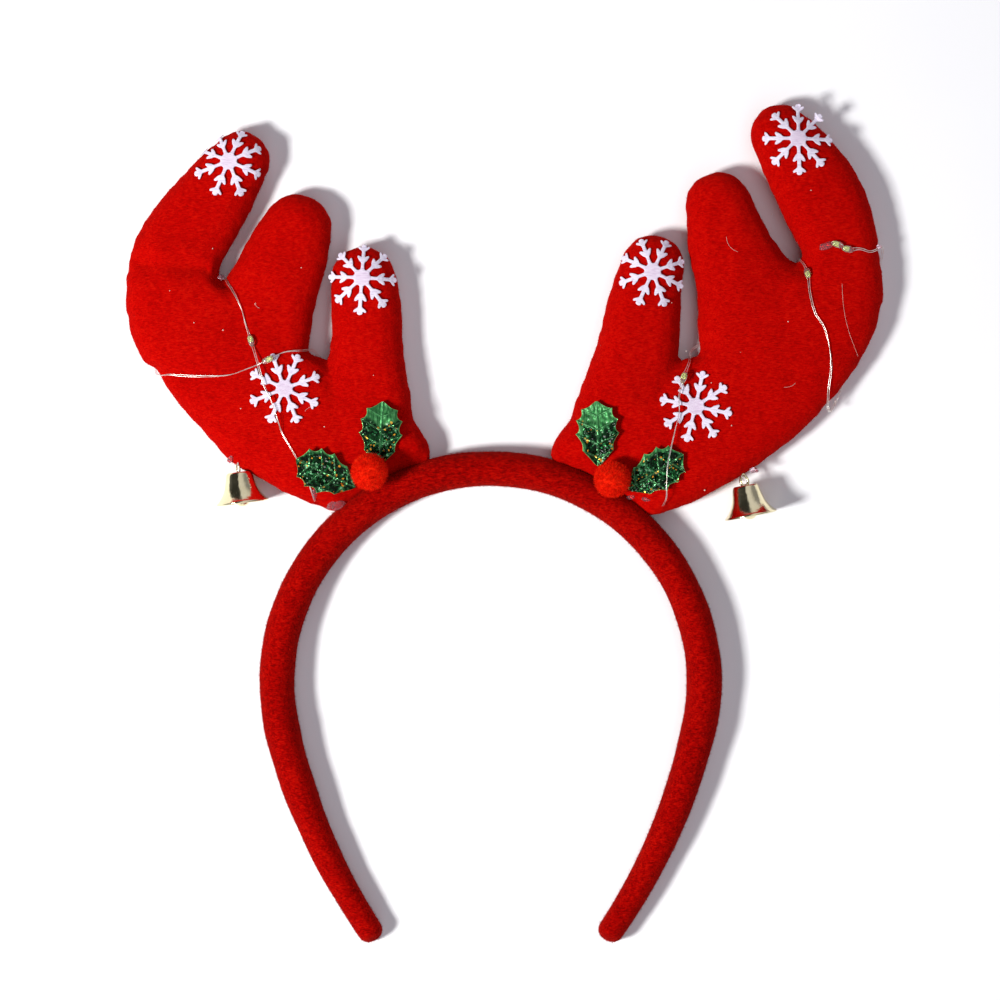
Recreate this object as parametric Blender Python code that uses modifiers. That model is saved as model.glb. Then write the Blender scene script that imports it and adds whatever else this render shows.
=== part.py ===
"""Reindeer antler headband, lying on its back: a padded horseshoe band with two stuffed felt antlers.

The band's circle is centred on the Z axis until the last line moves the whole object over its origin.
X runs to the right, Y up the antlers, Z away from the table. Lengths are in metres.
"""
import math

import bmesh
import bpy
import numpy as np
from mathutils import Matrix, Vector
from mathutils.bvhtree import BVHTree
from mathutils.geometry import delaunay_2d_cdt

MM = 0.001
GAP = 0.3 * MM

# Padded band: a circle over the head, then two arms that close in towards the nape.
BAND_RADIUS = 67.7 * MM
BAND_TURN = math.radians(103)
ARM_RADIUS = 190 * MM
ARM_LENGTH = 69.6 * MM
BAND_WIDTH = 11 * MM
BAND_DEPTH = 13 * MM
TIP_SHARE = 0.74
BAND_SIDES = 12
BAND_STEP = 10.5 * MM

# Stuffed antlers, both stitched from a front and a back felt that meet at the seam.
ANTLER_HEIGHT = 121.7 * MM
FOOT_ANGLE = math.radians(31)
FRONT_RISE = 8.0 * MM
BACK_DROP = 8.0 * MM
EDGE_ROUND = 13 * MM
NOTCH_BLEND = 1.2 * MM
OUTLINE_STEP = 2.6 * MM
RING_STEP = 4.6 * MM
CORE_STEP = 12 * MM

# Glued on trimmings
FLAKE_RADIUS = 11.4 * MM
FLAKE_ARMS = 8
FELT_SHEET = 0.9 * MM
LEAF_LENGTH = 20.4 * MM
LEAF_WIDTH = 13 * MM
LEAF_SHEET = 0.5 * MM
LEAF_FOLD = 0.9 * MM
BERRY_RADIUS = 5.6 * MM
BERRY_SEAT = 0.72
TUFT = 0.5 * MM

# Bells
BELL_RADIUS = 8.35 * MM
BELL_HEIGHT = 9.7 * MM
BELL_WALL = 0.6 * MM
EAR_RADIUS = 1.5 * MM
EAR_WIRE = 0.45 * MM
CLAPPER_RADIUS = 2.6 * MM
CLAPPER_STEM = 0.4 * MM
CLAPPER_HANG = 2.2 * MM
THREAD_RADIUS = 0.3 * MM

# Light strings: two fine strands in one tube, with a drop of resin round each lamp
WIRE_RADIUS = 0.25 * MM
LAMP_RADIUS = 1.1 * MM
LAMP_LENGTH = 4 * MM
WIRE_STEP = 4.2 * MM
WIRE_CREASE = 1.5 * MM
CREASE_SPREAD = 4 * MM

# Limbs of an antler. Columns: distance outwards, distance up, half width, as shares of its height.
LIMBS = {
    "left": {
        "beam": (
            (-0.027, 0.057, 0.130),
            (0.103, 0.083, 0.146),
            (0.259, 0.180, 0.154),
            (0.389, 0.284, 0.135),
            (0.445, 0.360, 0.135),
            (0.473, 0.432, 0.160),
            (0.512, 0.562, 0.122),
            (0.470, 0.659, 0.112),
            (0.395, 0.766, 0.096),
            (0.342, 0.841, 0.078),
        ),
        "middle": (
            (0.200, 0.250, 0.100),
            (0.240, 0.360, 0.086),
            (0.258, 0.480, 0.112),
            (0.228, 0.578, 0.110),
            (0.194, 0.664, 0.091),
        ),
        "palm": (
            (0.200, 0.190, 0.150),
            (0.330, 0.360, 0.130),
            (0.370, 0.470, 0.064),
        ),
        "inner": (
            (0.014, 0.167, 0.125),
            (0.012, 0.344, 0.096),
            (0.014, 0.466, 0.092),
            (0.022, 0.534, 0.085),
        ),
    },
    "right": {
        "beam": (
            (-0.025, 0.057, 0.130),
            (0.105, 0.068, 0.148),
            (0.267, 0.172, 0.168),
            (0.423, 0.302, 0.171),
            (0.543, 0.453, 0.159),
            (0.605, 0.578, 0.102),
            (0.561, 0.727, 0.111),
            (0.492, 0.844, 0.098),
            (0.444, 0.911, 0.078),
        ),
        "middle": (
            (0.330, 0.300, 0.120),
            (0.371, 0.440, 0.142),
            (0.353, 0.520, 0.126),
            (0.314, 0.615, 0.109),
            (0.284, 0.725, 0.087),
        ),
        "inner": (
            (0.027, 0.167, 0.125),
            (0.072, 0.344, 0.107),
            (0.090, 0.466, 0.096),
            (0.113, 0.568, 0.082),
        ),
    },
}

# Folds in the front felt. Columns: from outwards, from up, to outwards, to up, depth, spread.
FOLDS = {
    "left": (
        (0.600, 0.570, 0.410, 0.545, 0.018, 0.028),
        (0.560, 0.290, 0.480, 0.285, 0.010, 0.026),
    ),
    "right": (
        (0.240, 0.330, 0.225, 0.230, 0.008, 0.040),
        (0.500, 0.560, 0.520, 0.500, 0.010, 0.030),
    ),
}

# Snowflakes. Columns: outwards and up as shares of the antler's height, the first arm's turn in degrees,
# and how near the edge it starts to lie level, as a share of the rounding.
FLAKES = {
    "left": ((0.370, 0.842, 22, 0.05), (0.025, 0.538, -3, 0.24), (0.223, 0.247, 20, 0.24)),
    "right": ((0.487, 0.895, 0, 0.24), (0.118, 0.552, 20, 0.24), (0.225, 0.208, 33, 0.24)),
}

# Half of a snowflake's arm. Columns: distance from the hub's centre, half width, as shares of its radius.
FLAKE_ARM = ((0.40, 0.065), (0.56, 0.200), (0.56, 0.065), (0.76, 0.060), (0.84, 0.180), (1.00, 0.055))
FLAKE_VALLEY = 0.27

# Holly leaves. Columns: root outwards, root up, heading in degrees, lift over the felt in millimetres.
LEAVES = {
    "left": ((0.040, -0.008, 155, 1.0), (-0.020, 0.045, 86, 0.7)),
    "right": ((0.047, -0.015, 33, 0.5), (-0.030, 0.046, 92, 0.7)),
}

# Half of a leaf's outline. Columns: distance along the vein, half width, as shares of length and width.
LEAF_EDGE = (
    (0.00, 0.12), (0.08, 0.34), (0.12, 0.66), (0.20, 0.62), (0.30, 0.98), (0.40, 0.78),
    (0.52, 1.00), (0.62, 0.66), (0.72, 0.74), (0.81, 0.40), (0.88, 0.38), (1.00, 0.05),
)

# Berries over the roots of the leaves: outwards and up, as shares of the antler's height.
BERRIES = {"left": (0.002, 0.031), "right": (0.005, 0.012)}

# Bells: crown outwards and up as shares of the antler's height, and the heading of the mouth.
BELLS = {"left": (0.348, 0.024, -83.5), "right": (0.354, -0.006, -80.0)}

# Bell's outer side. Columns: distance down, radius, as shares of its height and its mouth's radius.
BELL_SIDE = (
    (0.00, 0.37), (0.06, 0.44), (0.20, 0.50), (0.40, 0.57), (0.60, 0.67), (0.78, 0.79), (0.92, 0.93), (1.00, 1.00),
)

# Routes of the light strings. Columns: outwards and up as shares of the antler's height, face of the
# felt (1 front, 0 edge, -1 back), lift over it in millimetres, and whether a lamp sits there.
ROUTES = {
    "left": (
        (0.145, -0.044, 1, 0.0, 0), (0.155, -0.016, 1, 0.0, 0), (0.168, 0.021, 1, 0.0, 0), (0.197, 0.076, 1, 0.0, 0),
        (0.228, 0.130, 1, 0.0, 0), (0.241, 0.169, 1, 1.5, 0), (0.257, 0.216, 1, 1.5, 0), (0.275, 0.255, 1, 1.6, 0),
        (0.290, 0.307, 1, 1.6, 0), (0.309, 0.370, 1, 0.0, 1), (0.324, 0.414, 1, 0.0, 0), (0.335, 0.453, 1, 0.0, 0),
        (0.358, 0.500, 1, 0.0, 0), (0.391, 0.540, 0, 0.0, 0), (0.430, 0.480, -1, 0.0, 0), (0.500, 0.375, -1, 0.0, 0),
        (0.562, 0.294, 0, 0.0, 0), (0.522, 0.284, 1, 0.0, 0), (0.447, 0.279, 1, 0.0, 0), (0.371, 0.281, 1, 0.0, 0),
        (0.324, 0.296, 1, 0.0, 0), (0.291, 0.309, 1, 0.1, 0), (0.266, 0.320, 1, 1.5, 1), (0.225, 0.340, 1, 1.6, 0),
        (0.181, 0.345, 1, 1.0, 0), (0.147, 0.345, 0, 0.0, 0), (0.121, 0.292, -1, 0.0, 0), (0.070, 0.258, -1, 0.0, 0),
    ),
    "right": (
        (0.137, -0.057, 1, 0.6, 0), (0.145, -0.036, 1, 2.2, 0), (0.145, -0.005, 1, 2.8, 0), (0.147, 0.042, 1, 2.8, 0),
        (0.155, 0.086, 1, 2.2, 0), (0.168, 0.143, 1, 1.6, 0), (0.178, 0.185, 1, 1.5, 0), (0.178, 0.227, 1, 1.5, 0),
        (0.190, 0.276, 1, 1.5, 1), (0.207, 0.318, 1, 0.4, 0), (0.216, 0.350, 0, 0.0, 0), (0.275, 0.388, -1, 0.0, 0),
        (0.379, 0.466, -1, 0.0, 0), (0.457, 0.531, -1, 0.0, 0), (0.496, 0.578, 0, 0.0, 0), (0.512, 0.547, 1, 0.0, 1),
        (0.517, 0.495, 1, 0.0, 0), (0.530, 0.443, 1, 0.0, 0), (0.553, 0.406, 1, 0.0, 0), (0.566, 0.359, 1, 0.0, 0),
        (0.572, 0.302, 1, 0.0, 0), (0.566, 0.227, 1, 0.0, 0), (0.575, 0.188, 0, 0.0, 0), (0.610, 0.262, -1, 0.0, 0),
        (0.655, 0.400, -1, 0.0, 0), (0.686, 0.505, -1, 0.0, 0), (0.712, 0.612, 0, 0.0, 0), (0.676, 0.602, 1, 0.0, 0),
        (0.647, 0.609, 1, 0.0, 0), (0.616, 0.607, 1, 0.0, 1), (0.590, 0.620, 1, 0.0, 0), (0.572, 0.622, 1, 0.0, 1),
    ),
}

SIDES = {"left": -1, "right": 1}
FOOT_RADIUS = BAND_RADIUS + BAND_WIDTH / 2 + GAP
SEAM_Z = BAND_DEPTH / 2 * math.cos(math.pi / BAND_SIDES)
FOOT = np.array([math.sin(FOOT_ANGLE), math.cos(FOOT_ANGLE)]) * (BAND_RADIUS + BAND_WIDTH / 2)


def material(name, colour, roughness, metallic=0.0):
    finish = bpy.data.materials.new(name)
    finish.use_nodes = True
    shader = finish.node_tree.nodes["Principled BSDF"]
    shader.inputs["Base Color"].default_value = (*colour, 1)
    shader.inputs["Roughness"].default_value = roughness
    shader.inputs["Metallic"].default_value = metallic
    return finish


def add_object(name, data, finish, collection):
    piece = bpy.data.objects.new(name, data)
    piece.data.materials.append(finish)
    piece.parent = bpy.data.objects["root"]
    bpy.data.collections[collection].objects.link(piece)
    return piece


def mesh_from(name, points, faces):
    mesh = bpy.data.meshes.new(name)
    mesh.from_pydata([tuple(p) for p in points], [], faces)
    mesh.validate()
    return mesh


def smooth_rows(rows, steps):
    """Points on a smooth curve through the rows of a table, with a number of steps from row to row."""
    rows = np.array(rows, dtype=float)
    around = np.vstack([2 * rows[0] - rows[1], rows, 2 * rows[-1] - rows[-2]])
    t = np.arange(steps)[:, None] / steps
    stretches = []
    for a, b, c, d in zip(around, around[1:], around[2:], around[3:]):
        bend = (2 * a - 5 * b + 4 * c - d) * t**2 + (3 * b - a - 3 * c + d) * t**3
        stretches.append(0.5 * (2 * b + (c - a) * t + bend))
    return np.vstack(stretches + [rows[-1:]])


def on_antler(side, shares):
    """Place on the table, from shares of the antler's height out from its foot and up."""
    shares = np.array(shares, dtype=float)
    out = FOOT[0] + shares[..., 0] * ANTLER_HEIGHT
    up = FOOT[1] + shares[..., 1] * ANTLER_HEIGHT
    return np.stack([SIDES[side] * out, up], axis=-1)


def line_distance(points, start, end):
    run = end - start
    share = np.clip((points - start) @ run / (run @ run), 0, 1)
    away = points - start - share[:, None] * run
    return np.hypot(away[:, 0], away[:, 1]), share


class Antler:
    """One antler's plan and its two felts, each a height over the table."""

    def __init__(self, side):
        self.side = side
        self.limbs = []
        for rows in LIMBS[side].values():
            path = smooth_rows(rows, 3)
            self.limbs.append(np.column_stack([on_antler(side, path), path[:, 2] * ANTLER_HEIGHT]))
        self.folds = [(on_antler(side, fold[0:2]), on_antler(side, fold[2:4]),
                       fold[4] * ANTLER_HEIGHT, fold[5] * ANTLER_HEIGHT) for fold in FOLDS[side]]
        route = smooth_rows(ROUTES[side], 4)
        self.hidden = on_antler(side, route)[route[:, 2] < 0.2]
        near = np.hypot(*np.diff(self.hidden, axis=0).T) < ANTLER_HEIGHT / 6
        self.creases = list(zip(self.hidden[:-1][near], self.hidden[1:][near]))

    def depth(self, points):
        """How far each point lies inside the outline, below zero outside it."""
        total = None
        for limb in self.limbs:
            deepest = np.full(len(points), -1.0)
            for start, end in zip(limb, limb[1:]):
                away, share = line_distance(points, start[:2], end[:2])
                deepest = np.maximum(deepest, start[2] + share * (end[2] - start[2]) - away)
            if total is None:
                total = deepest
            else:
                mix = np.clip(0.5 + 0.5 * (deepest - total) / NOTCH_BLEND, 0, 1)
                total = total + mix * (deepest - total) + NOTCH_BLEND * mix * (1 - mix)
        return np.minimum(total, np.hypot(points[:, 0], points[:, 1]) - FOOT_RADIUS)

    def swell(self, points, least):
        inward = np.clip(self.depth(points), least, EDGE_ROUND) / EDGE_ROUND
        return np.sqrt(1 - (1 - inward)**2)

    def front(self, points, least=0.0):
        """Height of the front felt, with its folds; nearer the edge than least it stays level."""
        points = np.atleast_2d(points)
        swell = self.swell(points, least)
        height = SEAM_Z + FRONT_RISE * swell
        for start, end, depth, spread in self.folds:
            away, _ = line_distance(points, start, end)
            height -= swell * depth * np.exp(-(away / spread)**2)
        return height

    def back(self, points):
        """Height of the back felt: flat on the table, creased along the wire behind it."""
        points = np.atleast_2d(points)
        swell = self.swell(points, 0.0)
        height = np.maximum(SEAM_Z - BACK_DROP * swell, 0)
        away = np.full(len(points), 1.0)
        for start, end in self.creases:
            away = np.minimum(away, line_distance(points, start, end)[0])
        return height + swell * WIRE_CREASE * np.exp(-(away / CREASE_SPREAD)**2)

    def slope(self, point):
        step = 0.05 * MM
        around = point + step * np.array([[1, 0], [-1, 0], [0, 1], [0, -1]])
        east, west, north, south = self.depth(around)
        return np.array([east - west, north - south]) / (2 * step)

    def ring(self, level, step):
        """Points a step apart all along the line that lies level inside the outline."""
        start = on_antler(self.side, LIMBS[self.side]["beam"][1][:2])
        heading = np.array([0.0, -1.0])
        while self.depth(start[None])[0] > level:
            start = start + heading * step / 8
        points = []
        point = start
        while len(points) < 4 or np.hypot(*(point - points[0])) > step * 0.75:
            for _ in range(4):
                slope = self.slope(point)
                point = point - slope * (self.depth(point[None])[0] - level) / max(slope @ slope, 0.2)
            points.append(point)
            slope = self.slope(point)
            point = point + step * np.array([slope[1], -slope[0]]) / np.hypot(*slope)
            if len(points) > 1000:
                raise ValueError("the outline does not close")
        return np.array(points)


def antler_mesh(antler):
    """Both felts, triangulated between rings of points and sewn together round the outline."""
    outline = antler.ring(0.0, OUTLINE_STEP)
    rings = [antler.ring(share * EDGE_ROUND, RING_STEP * wider)
             for share, wider in ((0.09, 1.0), (0.28, 1.3), (0.56, 1.8))]
    low = outline.min(axis=0)
    high = outline.max(axis=0)
    across = np.arange(low[0], high[0], CORE_STEP)
    up = np.arange(low[1], high[1], CORE_STEP)
    core = np.stack(np.meshgrid(across, up), axis=-1).reshape(-1, 2)
    core = core[antler.depth(core) > 0.56 * EDGE_ROUND + CORE_STEP / 3]
    hidden = antler.hidden[antler.depth(antler.hidden) > 0.36 * EDGE_ROUND]
    core = core[[np.hypot(*(hidden - point).T).min() > CORE_STEP / 3 for point in core]]
    inside = np.vstack(rings + [core, hidden])
    plan = np.vstack([outline, inside])
    rim = len(outline)
    loop = list(range(rim))
    corners, _, faces, sources, _, _ = delaunay_2d_cdt([Vector(p) for p in plan], [], [loop], 1, 1e-7)
    source = [found[0] for found in sources]
    flat = np.array([tuple(corner) for corner in corners])
    place = {index: new for new, index in enumerate(source)}
    front = np.column_stack([flat, antler.front(flat)])
    back = np.column_stack([flat, antler.back(flat)])
    for index in loop:
        front[place[index], 2] = SEAM_Z
    inner = [new for new, index in enumerate(source) if index >= rim]
    below = {new: len(flat) + order for order, new in enumerate(inner)}
    points = np.vstack([front, back[inner]])
    turned = [[below.get(corner, corner) for corner in reversed(face)] for face in faces]
    return mesh_from("antler_" + antler.side, points, [list(face) for face in faces] + turned)


def band_path():
    """Centre line of the band as rows of X, Y and heading, from its left end over the top to its right."""
    turn = np.linspace(0, BAND_TURN, math.ceil(BAND_RADIUS * BAND_TURN / BAND_STEP) + 1)
    arm = BAND_TURN + np.linspace(0, ARM_LENGTH / ARM_RADIUS, math.ceil(ARM_LENGTH / BAND_STEP) + 1)[1:]
    over = np.column_stack([BAND_RADIUS * np.sin(turn), BAND_RADIUS * np.cos(turn), turn])
    along = np.column_stack([
        over[-1, 0] + ARM_RADIUS * (np.sin(arm) - math.sin(BAND_TURN)),
        over[-1, 1] + ARM_RADIUS * (np.cos(arm) - math.cos(BAND_TURN)),
        arm,
    ])
    right = np.vstack([over, along])
    left = (right * [-1, 1, -1])[:0:-1]
    return np.vstack([left, right])


def band_mesh():
    """Rounded sections along the centre line, smaller towards the ends, all standing on one flat side."""
    path = band_path()
    arm = np.clip((np.abs(path[:, 2]) - BAND_TURN) * ARM_RADIUS / ARM_LENGTH, 0, 1)
    size = 1 - (1 - TIP_SHARE) * arm
    end = path[-1]
    reach = BAND_WIDTH / 2 * TIP_SHARE
    for bend in np.radians([35, 62, 82]):
        forward = reach * math.sin(bend) * np.array([math.cos(end[2]), -math.sin(end[2])])
        row = np.array([end[0] + forward[0], end[1] + forward[1], end[2]])
        path = np.vstack([row * [-1, 1, -1], path, row])
        size = np.concatenate([[TIP_SHARE * math.cos(bend)], size, [TIP_SHARE * math.cos(bend)]])
    turn = (np.arange(BAND_SIDES) + 0.5) * 2 * math.pi / BAND_SIDES
    across = BAND_WIDTH / 2 * size[:, None] * np.sin(turn)
    normal = np.column_stack([np.sin(path[:, 2]), np.cos(path[:, 2])])
    height = BAND_DEPTH / 2 * size[:, None] * (np.cos(turn) + math.cos(math.pi / BAND_SIDES))
    rings = np.empty((len(path), BAND_SIDES, 3))
    rings[..., 0:2] = path[:, None, 0:2] + across[..., None] * normal[:, None, :]
    rings[..., 2] = height
    faces = []
    for row in range(len(path) - 1):
        for side in range(BAND_SIDES):
            right = (side + 1) % BAND_SIDES
            low = row * BAND_SIDES
            faces.append((low + side, low + BAND_SIDES + side, low + BAND_SIDES + right, low + right))
    last = (len(path) - 1) * BAND_SIDES
    faces.append(tuple(range(BAND_SIDES)))
    faces.append(tuple(last + side for side in reversed(range(BAND_SIDES))))
    return mesh_from("headband", rings.reshape(-1, 3), faces)


def add_shell(piece, thickness):
    wall = piece.modifiers.new("wall", "SOLIDIFY")
    wall.thickness = thickness
    wall.offset = 1
    return wall


def lay_over(antler, tree, centre, plan, level):
    """Points of a flat cut laid over the front felt: each keeps its distance from the centre along the felt."""
    share = np.linspace(0, 1, 25)
    line = centre + share[:, None, None] * (plan - centre)
    height = antler.front(line.reshape(-1, 2), level).reshape(line.shape[:2])
    flat = np.hypot(*(plan - centre).T) / (len(share) - 1)
    run = np.vstack([np.zeros(len(plan)), np.cumsum(np.hypot(np.diff(height, axis=0), flat), axis=0)])
    reach = flat * (len(share) - 1)
    kept = np.array([np.interp(far, run[:, number], share) for number, far in enumerate(reach)])
    laid = centre + kept[:, None] * (plan - centre)
    under = antler.front(laid, level)
    for number, point in enumerate(laid):
        hit = tree.ray_cast(Vector((*point, 1)), Vector((0, 0, -1)))[0]
        if hit:
            under[number] = max(under[number], hit.z)
    return np.column_stack([laid, under])


def flake_mesh(antler, tree, out, up, first, level):
    """Snowflake cut from sheet felt: equal arms round a hub, laid over the front felt."""
    centre = on_antler(antler.side, (out, up))
    points = [centre]
    faces = []
    arm = [(along, -half) for along, half in FLAKE_ARM] + [(along, half) for along, half in reversed(FLAKE_ARM)]
    rows = len(arm) + 1
    for number in range(FLAKE_ARMS):
        turn = math.radians(first) + number * 2 * math.pi / FLAKE_ARMS
        valley = turn - math.pi / FLAKE_ARMS
        points.append(centre + FLAKE_RADIUS * FLAKE_VALLEY * np.array([math.cos(valley), math.sin(valley)]))
        forward = np.array([math.cos(turn), math.sin(turn)])
        sideways = np.array([-forward[1], forward[0]])
        for along, half in arm:
            points.append(centre + FLAKE_RADIUS * (along * forward + half * sideways))
        start = 1 + number * rows
        after = 1 + (number + 1) % FLAKE_ARMS * rows
        faces.append([0] + list(range(start, start + rows)) + [after])
    plan = np.array(points)
    height = np.zeros(len(plan))
    mesh = mesh_from("flake", np.column_stack([plan, height]), faces)
    shape = bmesh.new()
    shape.from_mesh(mesh)
    bmesh.ops.triangulate(shape, faces=shape.faces[:])
    laid = lay_over(antler, tree, centre, plan, EDGE_ROUND * level)
    for vertex in shape.verts:
        vertex.co = Vector(laid[vertex.index]) + Vector((0, 0, 1.5 * GAP))
    shape.to_mesh(mesh)
    shape.free()
    return mesh


def leaf_mesh(antler, root_out, root_up, heading, lift):
    """Spiny leaf, folded along its vein, laid over the front felt."""
    root = on_antler(antler.side, (root_out, root_up))
    forward = np.array([math.cos(math.radians(heading)), math.sin(math.radians(heading))])
    sideways = np.array([-forward[1], forward[0]])
    edge = np.array(LEAF_EDGE)
    across = np.array([-1.0, 0.0, 1.0])
    vein = root + edge[:, 0:1] * LEAF_LENGTH * forward
    plan = vein[:, None] + (edge[:, 1:2] * across * LEAF_WIDTH / 2)[..., None] * sideways
    flat = plan.reshape(-1, 2)
    level = EDGE_ROUND * 0.35
    under = np.maximum(antler.front(flat, level), np.repeat(antler.front(vein, level), len(across)))
    fold = LEAF_FOLD * np.abs(np.tile(across, len(edge)) * np.repeat(edge[:, 1], len(across)))
    points = np.column_stack([flat, under + lift * MM + GAP + fold])
    wide = len(across)
    faces = []
    for row in range(len(edge) - 1):
        for side in range(wide - 1):
            low = row * wide + side
            faces.append((low, low + wide, low + wide + 1, low + 1))
    return mesh_from("leaf", points, [face[::-1] for face in faces])


def berry_mesh():
    """Ball of short tufts on a round core, flat underneath where it is glued."""
    shape = bmesh.new()
    bmesh.ops.create_icosphere(shape, subdivisions=2, radius=BERRY_RADIUS - TUFT)
    tufts = bmesh.ops.poke(shape, faces=shape.faces[:])["verts"]
    for vertex in tufts:
        vertex.co = vertex.co.normalized() * BERRY_RADIUS
    for vertex in shape.verts:
        vertex.co.z = max(vertex.co.z, -BERRY_SEAT * BERRY_RADIUS)
    bmesh.ops.dissolve_limit(shape, angle_limit=0.001, verts=shape.verts[:], edges=shape.edges[:])
    mesh = bpy.data.meshes.new("berry")
    shape.to_mesh(mesh)
    shape.free()
    return mesh


def turned_mesh(name, profile):
    """Profile of radius and height rows, from the top down the outer side."""
    mesh = bpy.data.meshes.new(name)
    links = [(row, row + 1) for row in range(len(profile) - 1)]
    mesh.from_pydata([(radius, 0, height) for radius, height in profile], links, [])
    return mesh


def add_screw(piece, steps):
    turn = piece.modifiers.new("turn", "SCREW")
    turn.steps = steps
    turn.render_steps = steps
    turn.use_merge_vertices = True
    turn.merge_threshold = 0.00002
    return turn


def bell_profile():
    side = [(radius * BELL_RADIUS, -down * BELL_HEIGHT) for down, radius in BELL_SIDE]
    inner = [(radius - BELL_WALL, min(height, -BELL_WALL)) for radius, height in reversed(side)]
    inner[0] = (side[-1][0] - BELL_WALL, side[-1][1])
    inner.pop(-2)
    return [(0.0, 0.0)] + side + inner + [(0.0, -BELL_WALL)]


def bell_place(side):
    """Where a bell's crown lies, and the turn that lays its axis level with the mouth on its heading."""
    out, up, heading = BELLS[side]
    crown = on_antler(side, (out, up))
    turn = Matrix.Rotation(math.radians(heading + 90), 4, "Z") @ Matrix.Rotation(math.radians(-90), 4, "X")
    return Matrix.Translation((crown[0], crown[1], BELL_RADIUS)) @ turn


def add_bell(side, brass):
    place = bell_place(side)
    bell = add_object("bell_" + side, turned_mesh("bell", bell_profile()), brass, "reindeer_headband")
    bell.matrix_local = place
    add_screw(bell, 14)
    ear = bpy.data.meshes.new("ear")
    shape = bmesh.new()
    ring = bmesh.ops.create_circle(shape, segments=6, radius=EAR_WIRE)["verts"]
    bmesh.ops.translate(shape, verts=ring, vec=(EAR_RADIUS, 0, 0))
    bmesh.ops.rotate(shape, verts=ring, cent=(EAR_RADIUS, 0, 0), matrix=Matrix.Rotation(math.pi / 2, 3, "X"))
    bmesh.ops.spin(shape, geom=shape.verts[:] + shape.edges[:], cent=(0, 0, 0), axis=(0, 0, 1),
                   angle=2 * math.pi, steps=12, use_merge=True)
    bmesh.ops.recalc_face_normals(shape, faces=shape.faces[:])
    bmesh.ops.rotate(shape, verts=shape.verts[:], cent=(0, 0, 0), matrix=Matrix.Rotation(math.pi / 2, 3, "X"))
    bmesh.ops.translate(shape, verts=shape.verts[:], vec=(0, 0, EAR_RADIUS))
    shape.to_mesh(ear)
    shape.free()
    joined = add_object("ear_of_" + side, ear, brass, "cutters")
    joined.matrix_local = place
    joined.hide_render = True
    joined.display_type = "WIRE"
    union = bell.modifiers.new("ear", "BOOLEAN")
    union.operation = "UNION"
    union.object = joined
    return bell


def add_clapper(side, brass):
    """Ball on a stem, hanging from the crown and lying towards the table."""
    stem_top = -BELL_WALL - GAP
    ball = -BELL_HEIGHT + CLAPPER_RADIUS * 0.4
    turn = np.radians(np.linspace(8, 180, 7))
    rows = [(0.0, stem_top), (CLAPPER_STEM, stem_top), (CLAPPER_STEM, ball + CLAPPER_RADIUS)]
    rows += [(CLAPPER_RADIUS * math.sin(t), ball + CLAPPER_RADIUS * math.cos(t)) for t in turn[1:]]
    rows[-1] = (0.0, ball - CLAPPER_RADIUS)
    clapper = add_object("clapper_" + side, turned_mesh("clapper", rows), brass, "reindeer_headband")
    lean = math.atan2(CLAPPER_HANG, stem_top - ball)
    tip = Matrix.Translation((0, 0, stem_top)) @ Matrix.Rotation(lean, 4, "X") @ Matrix.Translation((0, 0, -stem_top))
    clapper.matrix_local = bell_place(side) @ tip
    add_screw(clapper, 12)
    return clapper


def add_tube(name, points, radii, finish):
    curve = bpy.data.curves.new(name, "CURVE")
    curve.dimensions = "3D"
    curve.bevel_depth = radii[0]
    curve.bevel_resolution = 2
    curve.use_fill_caps = True
    spline = curve.splines.new("POLY")
    spline.points.add(len(points) - 1)
    for place, point, radius in zip(spline.points, points, radii):
        place.co = (*point, 1)
        place.radius = radius / radii[0]
    return add_object(name, curve, finish, "reindeer_headband")


def surface_tree(mesh):
    shape = bmesh.new()
    shape.from_mesh(mesh)
    tree = BVHTree.FromBMesh(shape)
    shape.free()
    return tree


def clear_drop(upper, lower):
    """How far the upper mesh can come down before it meets the lower one."""
    down = Vector((0, 0, -1))
    drops = []
    for above, below, way in ((upper, lower, down), (lower, upper, -down)):
        tree = surface_tree(below)
        for vertex in above.vertices:
            hit, _, _, distance = tree.ray_cast(vertex.co, way)
            if hit:
                drops.append(distance)
    return min(drops, default=math.inf)


def stand_off(tree, point, clear):
    """The point itself, or moved out along the nearest face until it stands clear of it."""
    nearest, normal, _, _ = tree.find_nearest(Vector(point))
    away = (Vector(point) - nearest).dot(normal)
    if away < clear:
        return nearest + normal * clear
    return Vector(point)


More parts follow.
